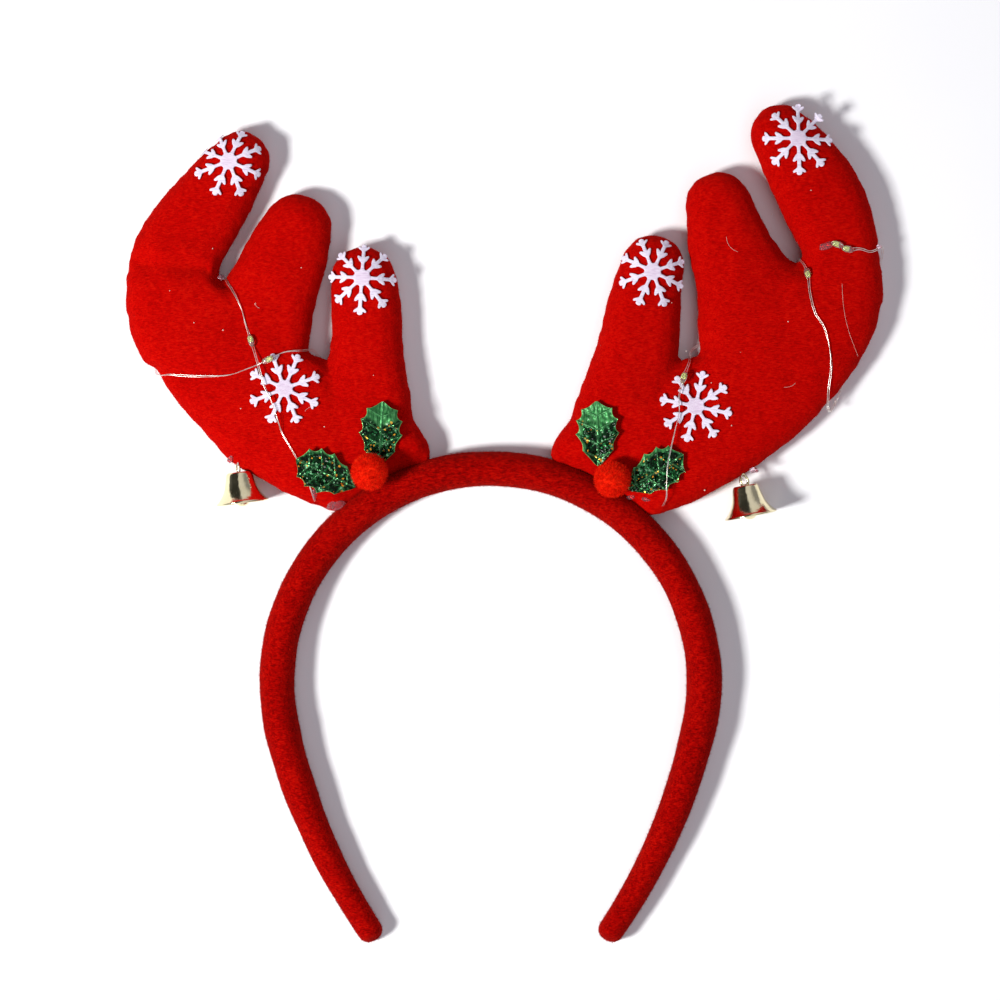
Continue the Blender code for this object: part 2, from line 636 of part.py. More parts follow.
def route_samples(antler, tree):
    """Points and tube radii along a light string, evenly spaced, closer at its lamps."""
    steps = 12
    rows = smooth_rows(ROUTES[antler.side], steps)
    plan = on_antler(antler.side, rows)
    front = antler.front(plan, EDGE_ROUND * 0.02) + rows[:, 3] * MM
    face = np.clip(rows[:, 2], -1, 1)
    height = np.where(face > 0, SEAM_Z + face * (front - SEAM_Z), SEAM_Z - face * (antler.back(plan) - SEAM_Z))
    line = np.column_stack([plan, height])
    line[:, 2] += np.where(face > 0.9, GAP + WIRE_RADIUS, 0)
    for _ in range(4):
        line = np.array([stand_off(tree, point, 1.2 * GAP + WIRE_RADIUS) for point in line])
        line[1:-1] = (line[:-2] + 2 * line[1:-1] + line[2:]) / 4
    run = np.concatenate([[0], np.cumsum(np.linalg.norm(np.diff(line, axis=0), axis=1))])
    effort = run + np.concatenate([[0], np.cumsum(np.diff(run) * (np.abs(face[1:]) < 0.95))])
    even = np.linspace(0, effort[-1], math.ceil(effort[-1] / WIRE_STEP) + 1)
    stops = list(np.interp(even, effort, run))
    lamps = [run[number * steps] for number, row in enumerate(ROUTES[antler.side]) if row[4]]
    half = LAMP_LENGTH / 2
    for lamp in lamps:
        lamp = min(max(lamp, half), run[-1] - half)
        stops = [stop for stop in stops if abs(stop - lamp) > half + WIRE_STEP / 4]
        stops += [lamp + share * half for share in (-1, -0.72, 0, 0.72, 1)]
    stops = np.sort(stops)
    radius = np.full(len(stops), WIRE_RADIUS)
    for lamp in lamps:
        lamp = min(max(lamp, half), run[-1] - half)
        across = np.clip(1 - ((stops - lamp) / half)**2, 0, 1)
        radius = np.maximum(radius, LAMP_RADIUS * np.sqrt(across))
    line = np.column_stack([np.interp(stops, run, line[:, axis]) for axis in range(3)])
    line[:, 2] += np.where(np.interp(stops, run, face) > 0.9, radius - WIRE_RADIUS, 0)
    return line, radius


def add_light_string(antler, tree, finish):
    line, radii = route_samples(antler, tree)
    line = [stand_off(tree, point, 1.2 * GAP + radius) for point, radius in zip(line, radii)]
    for _ in range(4):
        for number in range(len(line) - 1):
            middle = (line[number] + line[number + 1]) / 2
            shift = stand_off(tree, middle, 1.1 * GAP + WIRE_RADIUS) - middle
            line[number] = line[number] + shift
            line[number + 1] = line[number + 1] + shift
    return add_tube("light_string_" + antler.side, line, radii, finish)


def add_thread(antler, tree, finish):
    """Loop of thread from the antler's edge through the bell's ear and back."""
    place = bell_place(antler.side)
    slope = antler.slope(np.array(place.translation[:2]))
    slope = slope / np.hypot(*slope)
    eye = place @ Vector((0, 0, EAR_RADIUS))
    reach = -antler.depth(np.array([eye[:2]]))[0]
    edge = eye + Vector((*(slope * (reach + 1.2 * MM)), 0))
    edge.z = antler.front(np.array([edge[:2]]))[0]
    under = edge.copy()
    under.z = 2 * SEAM_Z - edge.z
    clear = EAR_WIRE + THREAD_RADIUS + GAP
    side = Vector((slope[0], slope[1], 0))
    rows = [edge, eye + side * (EAR_RADIUS * 0.9) + Vector((0, 0, clear + THREAD_RADIUS)),
            eye + Vector((0, 0, clear * 0.5)), eye - Vector((0, 0, clear * 0.5)),
            eye + side * (EAR_RADIUS * 0.9) - Vector((0, 0, clear + THREAD_RADIUS)), under]
    line = smooth_rows([tuple(row) for row in rows], 2)
    line = [stand_off(tree, point, GAP + THREAD_RADIUS) for point in line]
    return add_tube("bell_thread_" + antler.side, line, [THREAD_RADIUS] * len(line), finish)


def clear_scene():
    for thing in list(bpy.data.objects):
        bpy.data.objects.remove(thing, do_unlink=True)
    for name in ("reindeer_headband", "cutters"):
        group = bpy.data.collections.new(name)
        bpy.context.scene.collection.children.link(group)
    root = bpy.data.objects.new("root", None)
    bpy.data.collections["reindeer_headband"].objects.link(root)
    return root


def centre_on_origin(root):
    """Move the object so that its box stands on the table, centred on the Z axis."""
    bpy.context.view_layer.update()
    graph = bpy.context.evaluated_depsgraph_get()
    low = Vector((1, 1, 1))
    high = Vector((-1, -1, -1))
    for piece in bpy.data.collections["reindeer_headband"].objects:
        if piece.type == "EMPTY":
            continue
        shape = piece.evaluated_get(graph)
        mesh = shape.to_mesh()
        for vertex in mesh.vertices:
            place = piece.matrix_world @ vertex.co
            low = Vector(map(min, low, place))
            high = Vector(map(max, high, place))
        shape.to_mesh_clear()
    root.location = (-(low.x + high.x) / 2, -(low.y + high.y) / 2, -low.z)
    print("box", [round(1000 * size, 2) for size in high - low], "moved", [round(1000 * c, 2) for c in root.location])


def main():
    root = clear_scene()
    plush = material("plush_red", (0.50, 0.004, 0.004), 0.95)
    felt = material("felt_red", (0.60, 0.006, 0.003), 0.95)
    white = material("felt_white", (0.80, 0.72, 0.82), 0.9)
    green = material("foil_green", (0.0, 0.12, 0.03), 0.25, 0.7)
    tuft = material("tuft_red", (0.75, 0.02, 0.006), 0.95)
    brass = material("bell_gold", (0.75, 0.68, 0.38), 0.2, 1.0)
    wire = material("wire_silver", (0.70, 0.62, 0.52), 0.3, 0.8)
    thread = material("thread_clear", (0.75, 0.70, 0.70), 0.3)

    add_object("headband", band_mesh(), plush, "reindeer_headband")
    for side in SIDES:
        antler = Antler(side)
        body = antler_mesh(antler)
        tree = surface_tree(body)
        add_object("antler_" + side, body, felt, "reindeer_headband")
        for number, row in enumerate(FLAKES[side], 1):
            name = f"snowflake_{side}_{number}"
            add_shell(add_object(name, flake_mesh(antler, tree, *row), white, "reindeer_headband"), FELT_SHEET)
        carriers = [body]
        for number, row in enumerate(LEAVES[side], 1):
            name = f"holly_leaf_{side}_{number}"
            leaf = leaf_mesh(antler, *row)
            add_shell(add_object(name, leaf, green, "reindeer_headband"), LEAF_SHEET)
            top = leaf.copy()
            top.transform(Matrix.Translation((0, 0, LEAF_SHEET)))
            carriers.append(top)
        ball = berry_mesh()
        high = Vector((*on_antler(side, BERRIES[side]), 4 * FRONT_RISE))
        ball.transform(Matrix.Translation(high))
        ball.transform(Matrix.Translation((0, 0, GAP - min(clear_drop(ball, carrier) for carrier in carriers))))
        add_object("berry_" + side, ball, tuft, "reindeer_headband")
        add_bell(side, brass)
        add_clapper(side, brass)
        add_thread(antler, tree, thread)
        add_light_string(antler, tree, wire)
    centre_on_origin(root)


main()
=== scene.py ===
# %% [markdown]
# # A plush headband with two stuffed felt antlers
# The solids are already made and packed. This script dresses them: it loads them as a frame,
# works out every visible piece as a surface, and gives each one its finish. The headband lies on its
# back, so X runs to the right, Y up the antlers and Z towards the camera. Lengths are in metres.

# %% Load the frame
import math

import bmesh
import bpy
import numpy as np
from mathutils import Matrix, Vector


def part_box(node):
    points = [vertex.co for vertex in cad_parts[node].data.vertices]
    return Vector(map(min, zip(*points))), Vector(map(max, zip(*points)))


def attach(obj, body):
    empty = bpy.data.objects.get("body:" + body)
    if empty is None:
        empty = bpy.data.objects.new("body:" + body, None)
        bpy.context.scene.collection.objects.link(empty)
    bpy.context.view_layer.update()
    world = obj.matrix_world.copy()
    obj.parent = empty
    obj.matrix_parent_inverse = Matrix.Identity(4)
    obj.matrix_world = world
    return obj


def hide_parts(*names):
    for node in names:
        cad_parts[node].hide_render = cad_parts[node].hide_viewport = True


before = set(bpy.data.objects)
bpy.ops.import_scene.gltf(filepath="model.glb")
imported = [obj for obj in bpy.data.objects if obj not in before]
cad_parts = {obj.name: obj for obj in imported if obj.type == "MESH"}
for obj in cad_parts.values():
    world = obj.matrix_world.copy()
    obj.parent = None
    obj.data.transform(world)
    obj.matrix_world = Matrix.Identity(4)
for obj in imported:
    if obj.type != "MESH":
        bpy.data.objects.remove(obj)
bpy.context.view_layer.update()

MM = 0.001
SIDES = {"left": -1, "right": 1}

# %% [markdown]
# ## Where things are
# The trimmings were measured as shares of the antler's height, out from the antler's foot and up.
# The foot stands on the band's circle, and the circle's centre follows from the band's own box, so
# nothing here needs to know where the object was moved to.

# %% Measures shared by all pieces
BAND_RADIUS = 67.7 * MM
BAND_WIDTH = 11 * MM
BAND_DEPTH = 13 * MM
ANTLER_HEIGHT = 121.7 * MM
FOOT_ANGLE = math.radians(31)
# The solid band's section has flat sides, which lie at this share of its half width and half depth.
FLAT_SIDE = math.cos(math.radians(15))
SEAM_Z = BAND_DEPTH / 2 * FLAT_SIDE

band_low, band_high = (np.array(corner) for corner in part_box("headband"))
CENTRE = np.array([(band_low[0] + band_high[0]) / 2,
                   band_high[1] - BAND_RADIUS - BAND_WIDTH / 2 * FLAT_SIDE])
FOOT = np.array([math.sin(FOOT_ANGLE), math.cos(FOOT_ANGLE)]) * (BAND_RADIUS + BAND_WIDTH / 2)


def on_antler(side, shares):
    """Place on the table: the foot plus the shares times the antler's height, mirrored for the left."""
    shares = np.asarray(shares, dtype=float)
    out = SIDES[side] * (FOOT[0] + shares[..., 0] * ANTLER_HEIGHT)
    up = FOOT[1] + shares[..., 1] * ANTLER_HEIGHT
    return np.stack([out, up], axis=-1) + CENTRE


print("circle's centre", np.round(1000 * CENTRE, 2),
      "left foot", np.round(1000 * on_antler("left", (0, 0)), 1))

# %% [markdown]
# ## Grids into meshes
# A surface here is a grid of points: one parameter runs along the rows, the other round or across
# them. The same few lines then join any grid into faces. Bmesh operators could build the shapes step
# by step, but a formula on whole arrays is shorter, and its numbers can be read and changed.


# %% Mesh helpers
def grid_faces(rows, columns, ring):
    """Quads between neighbouring rows and columns; ring joins the last column to the first."""
    steps = columns if ring else columns - 1
    row, column = np.meshgrid(np.arange(rows - 1), np.arange(steps), indexing="ij")
    after = (column + 1) % columns
    low = row * columns
    quads = np.stack([low + column, low + after, low + columns + after, low + columns + column], axis=-1)
    return quads.reshape(-1, 4)


def tube_faces(rows, columns):
    """Quads round a closed grid, and one polygon over each of its two ends."""
    first = list(range(columns))[::-1]
    last = list(range((rows - 1) * columns, rows * columns))
    return grid_faces(rows, columns, True).tolist() + [first, last]


def six_volumes(triangles):
    """Sum of a . (b x c) over the triangles, six times the volume inside: negative when inside out."""
    a, b, c = triangles.transpose(1, 0, 2)
    return np.einsum("ij,ij->", a, np.cross(b, c))


def fans(points, faces):
    """Every face cut into a fan of triangles, as an array of points, three to a row."""
    corners = [(face[0], face[i], face[i + 1]) for face in faces for i in range(1, len(face) - 1)]
    return points[np.array(corners)]


def joined(parts):
    """Several (points, faces) pairs as one, each closed part with its faces pointing outwards."""
    parts = [(points, faces if six_volumes(fans(points, faces)) > 0 else [face[::-1] for face in faces])
             for points, faces in parts]
    starts = np.cumsum([0] + [len(points) for points, _ in parts])
    faces = [[corner + start for corner in face]
             for (_, part), start in zip(parts, starts) for face in part]
    return np.vstack([points for points, _ in parts]), faces


def points_of(mesh):
    points = np.empty(3 * len(mesh.vertices))
    mesh.vertices.foreach_get("co", points)
    return points.reshape(-1, 3)


def normals_of(mesh):
    normals = np.empty(3 * len(mesh.vertices))
    mesh.vertex_normals.foreach_get("vector", normals)
    return normals.reshape(-1, 3)


def triangles_of(mesh):
    """The mesh's triangles as an array of points, three to a row."""
    mesh.calc_loop_triangles()
    corners = np.empty(3 * len(mesh.loop_triangles), dtype=np.int32)
    mesh.loop_triangles.foreach_get("vertices", corners)
    return points_of(mesh)[corners.reshape(-1, 3)]


def piece(name, points, faces, finish, slot):
    """A new object at the origin with its place in its mesh. Its faces are turned outwards where the
    volume under them comes out negative."""
    mesh = bpy.data.meshes.new(name)
    mesh.from_pydata(np.asarray(points).tolist(), [], [list(face) for face in faces])
    if six_volumes(triangles_of(mesh)) < 0:
        mesh.flip_normals()
    return dressed(name, mesh, finish)


def dressed(name, mesh, finish, smooth=True):
    """An object of the finished mesh, with its material, that rides on the one body."""
    mesh.name = name
    mesh.materials.clear()
    mesh.materials.append(finish)
    mesh.polygons.foreach_set("use_smooth", np.full(len(mesh.polygons), smooth))
    thing = bpy.data.objects.new(name, mesh)
    bpy.context.scene.collection.objects.link(thing)
    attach(thing, "root")
    return thing


def point_attribute(thing, name, values):
    layer = thing.data.attributes.new(name, "FLOAT", "POINT")
    layer.data.foreach_set("value", np.asarray(values, dtype=np.float32))


# %% [markdown]
# ## Curves and tubes
# The light strings, threads and band all follow a line through measured points. A Catmull-Rom curve
# passes through each point and needs no handles. To carry a section along it, every row needs two
# side directions. Turning the last row's directions by the least amount keeps the tube from twisting,
# also where the line runs straight down round the felt's edge.


# %% Lines and tubes
def smooth_rows(rows, steps):
    """Catmull-Rom curve: between two rows, a cubic whose slopes are half the step over each of them."""
    rows = np.array(rows, dtype=float)
    around = np.vstack([2 * rows[0] - rows[1], rows, 2 * rows[-1] - rows[-2]])
    a, b, c, d = (around[k:k + len(rows) - 1, None] for k in range(4))
    t = (np.arange(steps) / steps)[:, None]
    bend = (2 * a - 5 * b + 4 * c - d) * t**2 + (3 * b - a - 3 * c + d) * t**3
    return np.vstack([(0.5 * (2 * b + (c - a) * t + bend)).reshape(-1, rows.shape[1]), rows[-1:]])


def unit(vectors):
    return vectors / np.maximum(np.linalg.norm(vectors, axis=-1, keepdims=True), 1e-12)


def side_directions(line):
    """Two directions across the line at each row, turned along with it by the least amount."""
    along = unit(np.gradient(line, axis=0))
    first = unit(np.cross(along[0], (0.3, 0.2, 0.93)))
    across = [first]
    for heading in along[1:]:
        across.append(unit(across[-1] - heading * (across[-1] @ heading)))
    across = np.array(across)
    return across, np.cross(along, across)


def turns(count, shift=0.0):
    """Angles at even steps round a circle, moved on by a share of a step."""
    return (np.arange(count) + shift) * 2 * math.pi / count


def tube(line, radii, columns):
    """Round section carried along a line: line + radius * (cos a * one side + sin a * the other)."""
    one, other = side_directions(line)
    turn = turns(columns)
    reach = np.broadcast_to(radii, len(line))[:, None, None]
    ring = np.cos(turn)[:, None] * one[:, None] + np.sin(turn)[:, None] * other[:, None]
    return (line[:, None] + reach * ring).reshape(-1, 3), tube_faces(len(line), columns)


def spun(profile, place, columns):
    """Turned shape: each (radius, height) row becomes the circle (r cos a, r sin a, h), then moves."""
    profile = np.array(profile)
    turn = turns(columns)
    radius = np.maximum(profile[:, 0], 0.02 * MM)[:, None]
    height = np.repeat(profile[:, 1:2], columns, axis=1)
    points = np.stack([radius * np.cos(turn), radius * np.sin(turn), height], axis=-1).reshape(-1, 3)
    return moved(points, place), tube_faces(len(profile), columns)


def moved(points, place):
    matrix = np.array(place)
    return points @ matrix[:3, :3].T + matrix[:3, 3]


def squared_off(wave, power):
    """The wave with its size raised to a power; below 1 its slopes get steeper and its tops flatter."""
    return np.sign(wave) * np.abs(wave)**power


def lump(centre, radii, corner=1.0, rows=18, columns=28):
    """Ellipsoid; a corner below 1 raises its sines and cosines to that power, which squares it off."""
    tilt = np.linspace(0.02, math.pi - 0.02, rows)[:, None]
    turn = turns(columns)[None]
    waves = (np.sin(tilt), np.cos(tilt), np.cos(turn), np.sin(turn))
    out, up, right, ahead = (squared_off(wave, corner) for wave in waves)
    points = np.stack([out * right, out * ahead, up + 0 * turn], axis=-1)
    return points.reshape(-1, 3) * radii + centre, tube_faces(rows, columns)


def waviness(points, size, seed):
    """Soft random swell, mostly between -1 and 1: the sum of nine plane waves, each about one size long
    and in a random direction, divided by the root of their number."""
    count = 9
    dice = np.random.default_rng(seed)
    heading = unit(dice.normal(size=(count, 3))) * 2 * math.pi / size * dice.uniform(0.6, 1.5, (count, 1))
    return np.sin(points @ heading.T + dice.uniform(0, 2 * math.pi, count)).sum(axis=1) / math.sqrt(count)


# %% [markdown]
# ## Shader maths as Python
# A material is a graph of nodes, and long sums of Math nodes are hard to read as a list of links.
# A small class that wraps a socket lets an expression such as 1 - mask * 0.3 add those nodes itself.
# Every other node comes from one method: its type, its settings, then the values of its sockets.


# %% Nodes from expressions
class Socket:
    """A node's output that Python's operators work on."""

    def __init__(self, finish, output):
        self.finish = finish
        self.output = output

    def math(self, operation, first, second):
        return self.finish.add("ShaderNodeMath", {"operation": operation}, {0: first, 1: second})

    def __add__(self, other):
        return self.math("ADD", self, other)

    def __radd__(self, other):
        return self.math("ADD", other, self)

    def __sub__(self, other):
        return self.math("SUBTRACT", self, other)

    def __rsub__(self, other):
        return self.math("SUBTRACT", other, self)

    def __mul__(self, other):
        return self.math("MULTIPLY", self, other)

    def __gt__(self, other):
        return self.math("GREATER_THAN", self, other)


def set_stops(ramp, stops):
    """Each stop of a colour ramp is a position and a colour."""
    while len(ramp.elements) < len(stops):
        ramp.elements.new(0.5)
    for element, (position, colour) in zip(ramp.elements, stops):
        element.position = position
        element.color = (*colour, 1)


class Finish:
    """A material: constants sit on its shader's own sockets, and what varies is linked to them."""

    def __init__(self, name, **constants):
        self.material = bpy.data.materials.new(name)
        self.material.use_nodes = True
        self.tree = self.material.node_tree
        self.shader = self.tree.nodes["Principled BSDF"]
        for key, value in constants.items():
            self.shader.inputs[key.replace("_", " ").title().replace("Ior", "IOR")].default_value = value
        self.place = self.add("ShaderNodeTexCoord", {}, {}, "Object")

    def add(self, kind, settings, values, output=0):
        node = self.tree.nodes.new(kind)
        for key, value in settings.items():
            if key == "stops":
                set_stops(node.color_ramp, value)
            else:
                setattr(node, key, value)
        for key, value in values.items():
            if isinstance(value, Socket):
                self.tree.links.new(value.output, node.inputs[key])
            else:
                node.inputs[key].default_value = value
        return Socket(self, node.outputs[output])

    def noise(self, size, detail=3, stretch=(1, 1, 1), turn=0.0, distortion=0.0):
        """Soft random pattern; size is about one blotch across, stretch makes it longer along an axis."""
        scale = tuple(1 / part for part in stretch)
        values = {"Vector": self.place, "Rotation": (0, 0, turn), "Scale": scale}
        where = self.add("ShaderNodeMapping", {}, values)
        values = {"Vector": where, "Scale": 1 / size, "Detail": detail, "Distortion": distortion}
        return self.add("ShaderNodeTexNoise", {}, values)

    def ramp(self, share, *stops):
        return self.add("ShaderNodeValToRGB", {"stops": stops}, {0: share})

    def mix(self, share, first, second):
        first, second = (c if isinstance(c, Socket) else (*c, 1) for c in (first, second))
        return self.add("ShaderNodeMix", {"data_type": "RGBA"}, {0: share, 6: first, 7: second}, 2)

    def attribute(self, name):
        return self.add("ShaderNodeAttribute", {"attribute_name": name}, {}, "Fac")

    def bump(self, height, distance):
        """Relief of that height in metres; the shader sees it as a turned normal."""
        return self.add("ShaderNodeBump", {}, {"Height": height, "Distance": distance}, "Normal")

    def feed(self, **sockets):
        for key, value in sockets.items():
            self.tree.links.new(value.output, self.shader.inputs[key.replace("_", " ").title()])
        return self


# %% [markdown]
# ## Red felt and red plush
# Felt is a mat of short fibres pressed flat: close up it is a tangle of fine lines, further away a
# soft mottle, and its loose ends catch light at the edge. Three noises stretched in three directions
# give the tangle, a larger one the mottle, and sheen the pale edge. The band's cover is the same
# cloth with a deeper, rougher nap, so it shares the recipe with darker reds and a stronger relief.


# %% Felt finishes
def matted(name, dark, bright, glow, relief, **constants):
    finish = Finish(name, specular_ior_level=0.02, **constants)
    fine = [finish.noise(0.36 * MM, 2, (4, 1, 1), turn, 0.5) for turn in (-0.35, 0.9, 2.1)]
    tangle = (fine[0] + fine[0] + fine[1] + fine[2]) * 0.25
    mottle = finish.noise(1.6 * MM, 3)
    cloud = finish.noise(19 * MM, 2)
    tone = tangle * 0.9 + mottle * 0.25 + cloud * 0.1
    colour = finish.ramp(tone, (0.52, dark), (0.63, bright), (0.75, glow))
    rough = 0.86 + tangle * 0.2
    height = tangle * 0.7 + mottle * 0.3
    return finish.feed(base_color=colour, roughness=rough, normal=finish.bump(height, relief))


RED_SHEEN = {"sheen_roughness": 0.5, "sheen_tint": (1.0, 0.12, 0.06, 1)}
felt_red = matted("felt red", (0.31, 0.0004, 0.0001), (0.42, 0.0007, 0.0002), (0.50, 0.004, 0.001),
                  0.3 * MM, sheen_weight=0.05, **RED_SHEEN)
plush_red = matted("plush red", (0.15, 0.0003, 0.0002), (0.30, 0.0005, 0.0002), (0.43, 0.004, 0.001),
                   0.55 * MM, sheen_weight=0.06, **RED_SHEEN)


def fibre_finish(name, dark, bright, pale):
    """Loose fibres: each blade has its own tone, and a few are bleached."""
    finish = Finish(name, specular_ior_level=0.03)
    tone = finish.attribute("tone")
    colour = finish.ramp(tone, (0.0, dark), (0.85, bright), (1.0, pale))
    return finish.feed(base_color=colour, roughness=0.8 + tone * 0.15)


felt_fibre = fibre_finish("felt fibre", (0.35, 0.0006, 0.0002), (0.48, 0.0012, 0.0003),
                          (0.66, 0.02, 0.008))
plush_fibre = fibre_finish("plush fibre", (0.15, 0.0003, 0.0002), (0.41, 0.0010, 0.0003),
                           (0.60, 0.02, 0.008))
tuft_fibre = fibre_finish("tuft fibre", (0.72, 0.006, 0.001), (0.90, 0.020, 0.003), (0.98, 0.07, 0.015))
tuft_core = matted("tuft core", (0.68, 0.005, 0.001), (0.85, 0.016, 0.002), (0.95, 0.03, 0.006),
                   0.3 * MM)
print("felts:", felt_red.material.name, plush_red.material.name, tuft_core.material.name)

# %% [markdown]
# ## White felt for the snowflakes
# The snowflakes are cut from thin felt with a lilac tinge. Glue has soaked through at their hubs,
# which are a little darker and pinker there. The hub's mask is an attribute on the mesh, the share
# of the way out along an arm, because the pattern belongs to each flake and not to the table.

# %% White felt
felt_white = Finish("felt white", sheen_weight=0.1, sheen_roughness=0.5, specular_ior_level=0.1)
white_fine = [felt_white.noise(0.4 * MM, 2, (5, 1, 1), turn, 0.5) for turn in (0.5, 1.9)]
white_tangle = (white_fine[0] + white_fine[1]) * 0.5
white_cloth = felt_white.ramp(white_tangle, (0.36, (0.60, 0.52, 0.66)), (0.52, (0.74, 0.68, 0.79)),
                              (0.7, (0.82, 0.78, 0.86)))
soaked = felt_white.ramp(felt_white.attribute("outward") + (white_tangle - 0.5) * 0.5,
                         (0.10, (1, 1, 1)), (0.42, (0, 0, 0)))
soaked_cloth = felt_white.mix(white_tangle, (0.58, 0.40, 0.54), (0.74, 0.62, 0.74))
felt_white.feed(base_color=felt_white.mix(soaked * 0.6, white_cloth, soaked_cloth),
                roughness=0.8 + white_tangle * 0.2, normal=felt_white.bump(white_tangle, 0.25 * MM))

# %% [markdown]
# ## Green foil for the holly
# The leaves are stamped from plastic foil that breaks light into small coloured facets. Each cell of
# a Voronoi pattern gets its own tilt, added to the surface's normal, and its own green; a slow noise
# makes whole patches darker or paler, and a few cells flash gold. Part of each leaf is plain matt
# green, the veins and the cut edge are pale lines: attributes on the mesh say where those lie.

# %% Foil
foil_green = Finish("foil green", metallic=0.75, specular_ior_level=0.3, coat_weight=0.1,
                    coat_roughness=0.15)
cells = {"Vector": foil_green.place, "Scale": 1 / (0.55 * MM), "Randomness": 1.0}
facet = foil_green.add("ShaderNodeTexVoronoi", {"feature": "F1"}, cells, "Color")
facet_share = foil_green.add("ShaderNodeSeparateColor", {}, {0: facet}, 0)
facet_other = foil_green.add("ShaderNodeSeparateColor", {}, {0: facet}, 1)
patches = foil_green.noise(2.4 * MM, 2, (1, 1, 1), 0.0, 0.8)
glitter = facet_share * 0.55 + patches * 1.1 - 0.30
sparkle = foil_green.ramp(glitter, (0.22, (0.000, 0.003, 0.000)), (0.52, (0.000, 0.016, 0.003)),
                          (0.70, (0.004, 0.070, 0.012)), (0.82, (0.04, 0.34, 0.10)),
                          (0.95, (0.45, 0.92, 0.50)))
sparkle = foil_green.mix(facet_other > 0.965, sparkle, (0.95, 0.42, 0.03))
ribs = foil_green.noise(0.5 * MM, 2, (1, 6, 1), 0.4)
plain = foil_green.ramp(ribs, (0.35, (0.012, 0.10, 0.025)), (0.55, (0.045, 0.21, 0.06)),
                        (0.75, (0.10, 0.32, 0.12)))
plain_share = foil_green.attribute("plain") + (patches - 0.5) * 0.9
plainer = foil_green.ramp(plain_share, (0.30, (0, 0, 0)), (0.75, (1, 1, 1)))
leaf_colour = foil_green.mix(plainer, sparkle, plain)
leaf_colour = foil_green.mix(foil_green.attribute("vein") * 0.6, leaf_colour, (0.10, 0.36, 0.13))
cut_edge = foil_green.ramp(foil_green.attribute("rim"), (0.955, (0, 0, 0)), (0.985, (1, 1, 1)))
leaf_colour = foil_green.mix(cut_edge, leaf_colour, (0.14, 0.42, 0.13))
tilted = facet
for operation, values in (("SUBTRACT", {1: (0.5, 0.5, 0.5)}), ("SCALE", {"Scale": 0.9 - plainer * 0.8}),
                          ("ADD", {1: foil_green.add("ShaderNodeNewGeometry", {}, {}, "Normal")}),
                          ("NORMALIZE", {})):
    tilted = foil_green.add("ShaderNodeVectorMath", {"operation": operation}, {0: tilted, **values})
foil_green.feed(base_color=leaf_colour, roughness=0.16 + facet_other * 0.2 + plainer * 0.3, normal=tilted)
print("foil nodes:", len(foil_green.tree.nodes))

# %% [markdown]
# ## Metals, clear plastics and specks
# The bells are thin pressed brass, bright with faint turning marks and a little tarnish. The light
# string is bare silvered wire. Its lamps sit in drops of clear resin, and clear glue shows where the
# trimmings were stuck on. Gloss comes from roughness and the lamps in the room, never from paint.

# %% Small finishes
bell_gold = Finish("bell gold", metallic=1.0)
tarnish = bell_gold.noise(3 * MM, 4)
bell_gold.feed(base_color=bell_gold.mix(tarnish, (0.76, 0.67, 0.38), (0.88, 0.81, 0.56)),
               roughness=0.07 + tarnish * 0.16,
               normal=bell_gold.bump(bell_gold.noise(1.1 * MM, 3), 0.06 * MM))
wire_silver = Finish("wire silver", metallic=0.9)
worn = wire_silver.noise(1.2 * MM, 3)
worn_colour = wire_silver.ramp(worn, (0.30, (0.72, 0.56, 0.44)), (0.50, (0.90, 0.86, 0.80)))
wire_silver.feed(base_color=worn_colour, roughness=0.22 + worn * 0.25,
                 normal=wire_silver.bump(worn, 0.03 * MM))
resin = Finish("resin", transmission_weight=0.9, ior=1.5, base_color=(1.0, 0.97, 0.90, 1))
resin.feed(roughness=0.03 + resin.noise(0.8 * MM) * 0.12)
lamp_chip = Finish("lamp chip", specular_ior_level=0.6)
chip_colour = lamp_chip.mix(lamp_chip.noise(0.5 * MM), (0.56, 0.68, 0.10), (0.78, 0.88, 0.26))
lamp_chip.feed(base_color=chip_colour, roughness=0.3 + lamp_chip.noise(0.3 * MM) * 0.2)
glue_clear = Finish("glue clear", transmission_weight=0.94, ior=1.28, base_color=(1.0, 0.76, 0.86, 1))
glue_clear.feed(roughness=0.06 + glue_clear.noise(0.9 * MM, 2) * 0.16,
                normal=glue_clear.bump(glue_clear.noise(1.3 * MM, 2), 0.08 * MM))
thread_clear = Finish("thread clear", transmission_weight=0.5, ior=1.5, base_color=(0.88, 0.82, 0.80, 1))
thread_clear.feed(roughness=0.2 + thread_clear.noise(0.4 * MM) * 0.3)
speck_pale = Finish("speck pale", specular_ior_level=0.3)
speck_colour = speck_pale.mix(speck_pale.noise(4 * MM, 1), (0.55, 0.28, 0.18), (0.88, 0.80, 0.74))
speck_pale.feed(base_color=speck_colour, roughness=0.6 + speck_pale.noise(0.5 * MM) * 0.3)
print("small finishes made")

# %% [markdown]
# ## Floor, light and camera
# The object lies on a white table and is seen from straight above. One soft lamp stands low at the
# lower left, so every edge throws a short shadow to the upper right. The rest is a plain room: its
# brightness changes only from left to right, so polished brass has something pale and dark to mirror.

# %% Floor, light and camera
scene = bpy.context.scene
scene.view_settings.view_transform = "Standard"

table_white = Finish("table white", specular_ior_level=0.1)
table_colour = table_white.mix(table_white.noise(60 * MM, 2), (0.90, 0.90, 0.90), (0.93, 0.93, 0.93))
table_white.feed(base_color=table_colour, roughness=0.8 + table_white.noise(2 * MM) * 0.1)
TABLE_HALF = 3
TABLE_TOP = -0.1 * MM
table_mesh = bpy.data.meshes.new("table")
table_mesh.from_pydata([(TABLE_HALF * x, TABLE_HALF * y, TABLE_TOP)
                        for x, y in ((-1, -1), (1, -1), (1, 1), (-1, 1))], [], [(0, 1, 2, 3)])
table_mesh.materials.append(table_white.material)
table = bpy.data.objects.new("table", table_mesh)
scene.collection.objects.link(table)

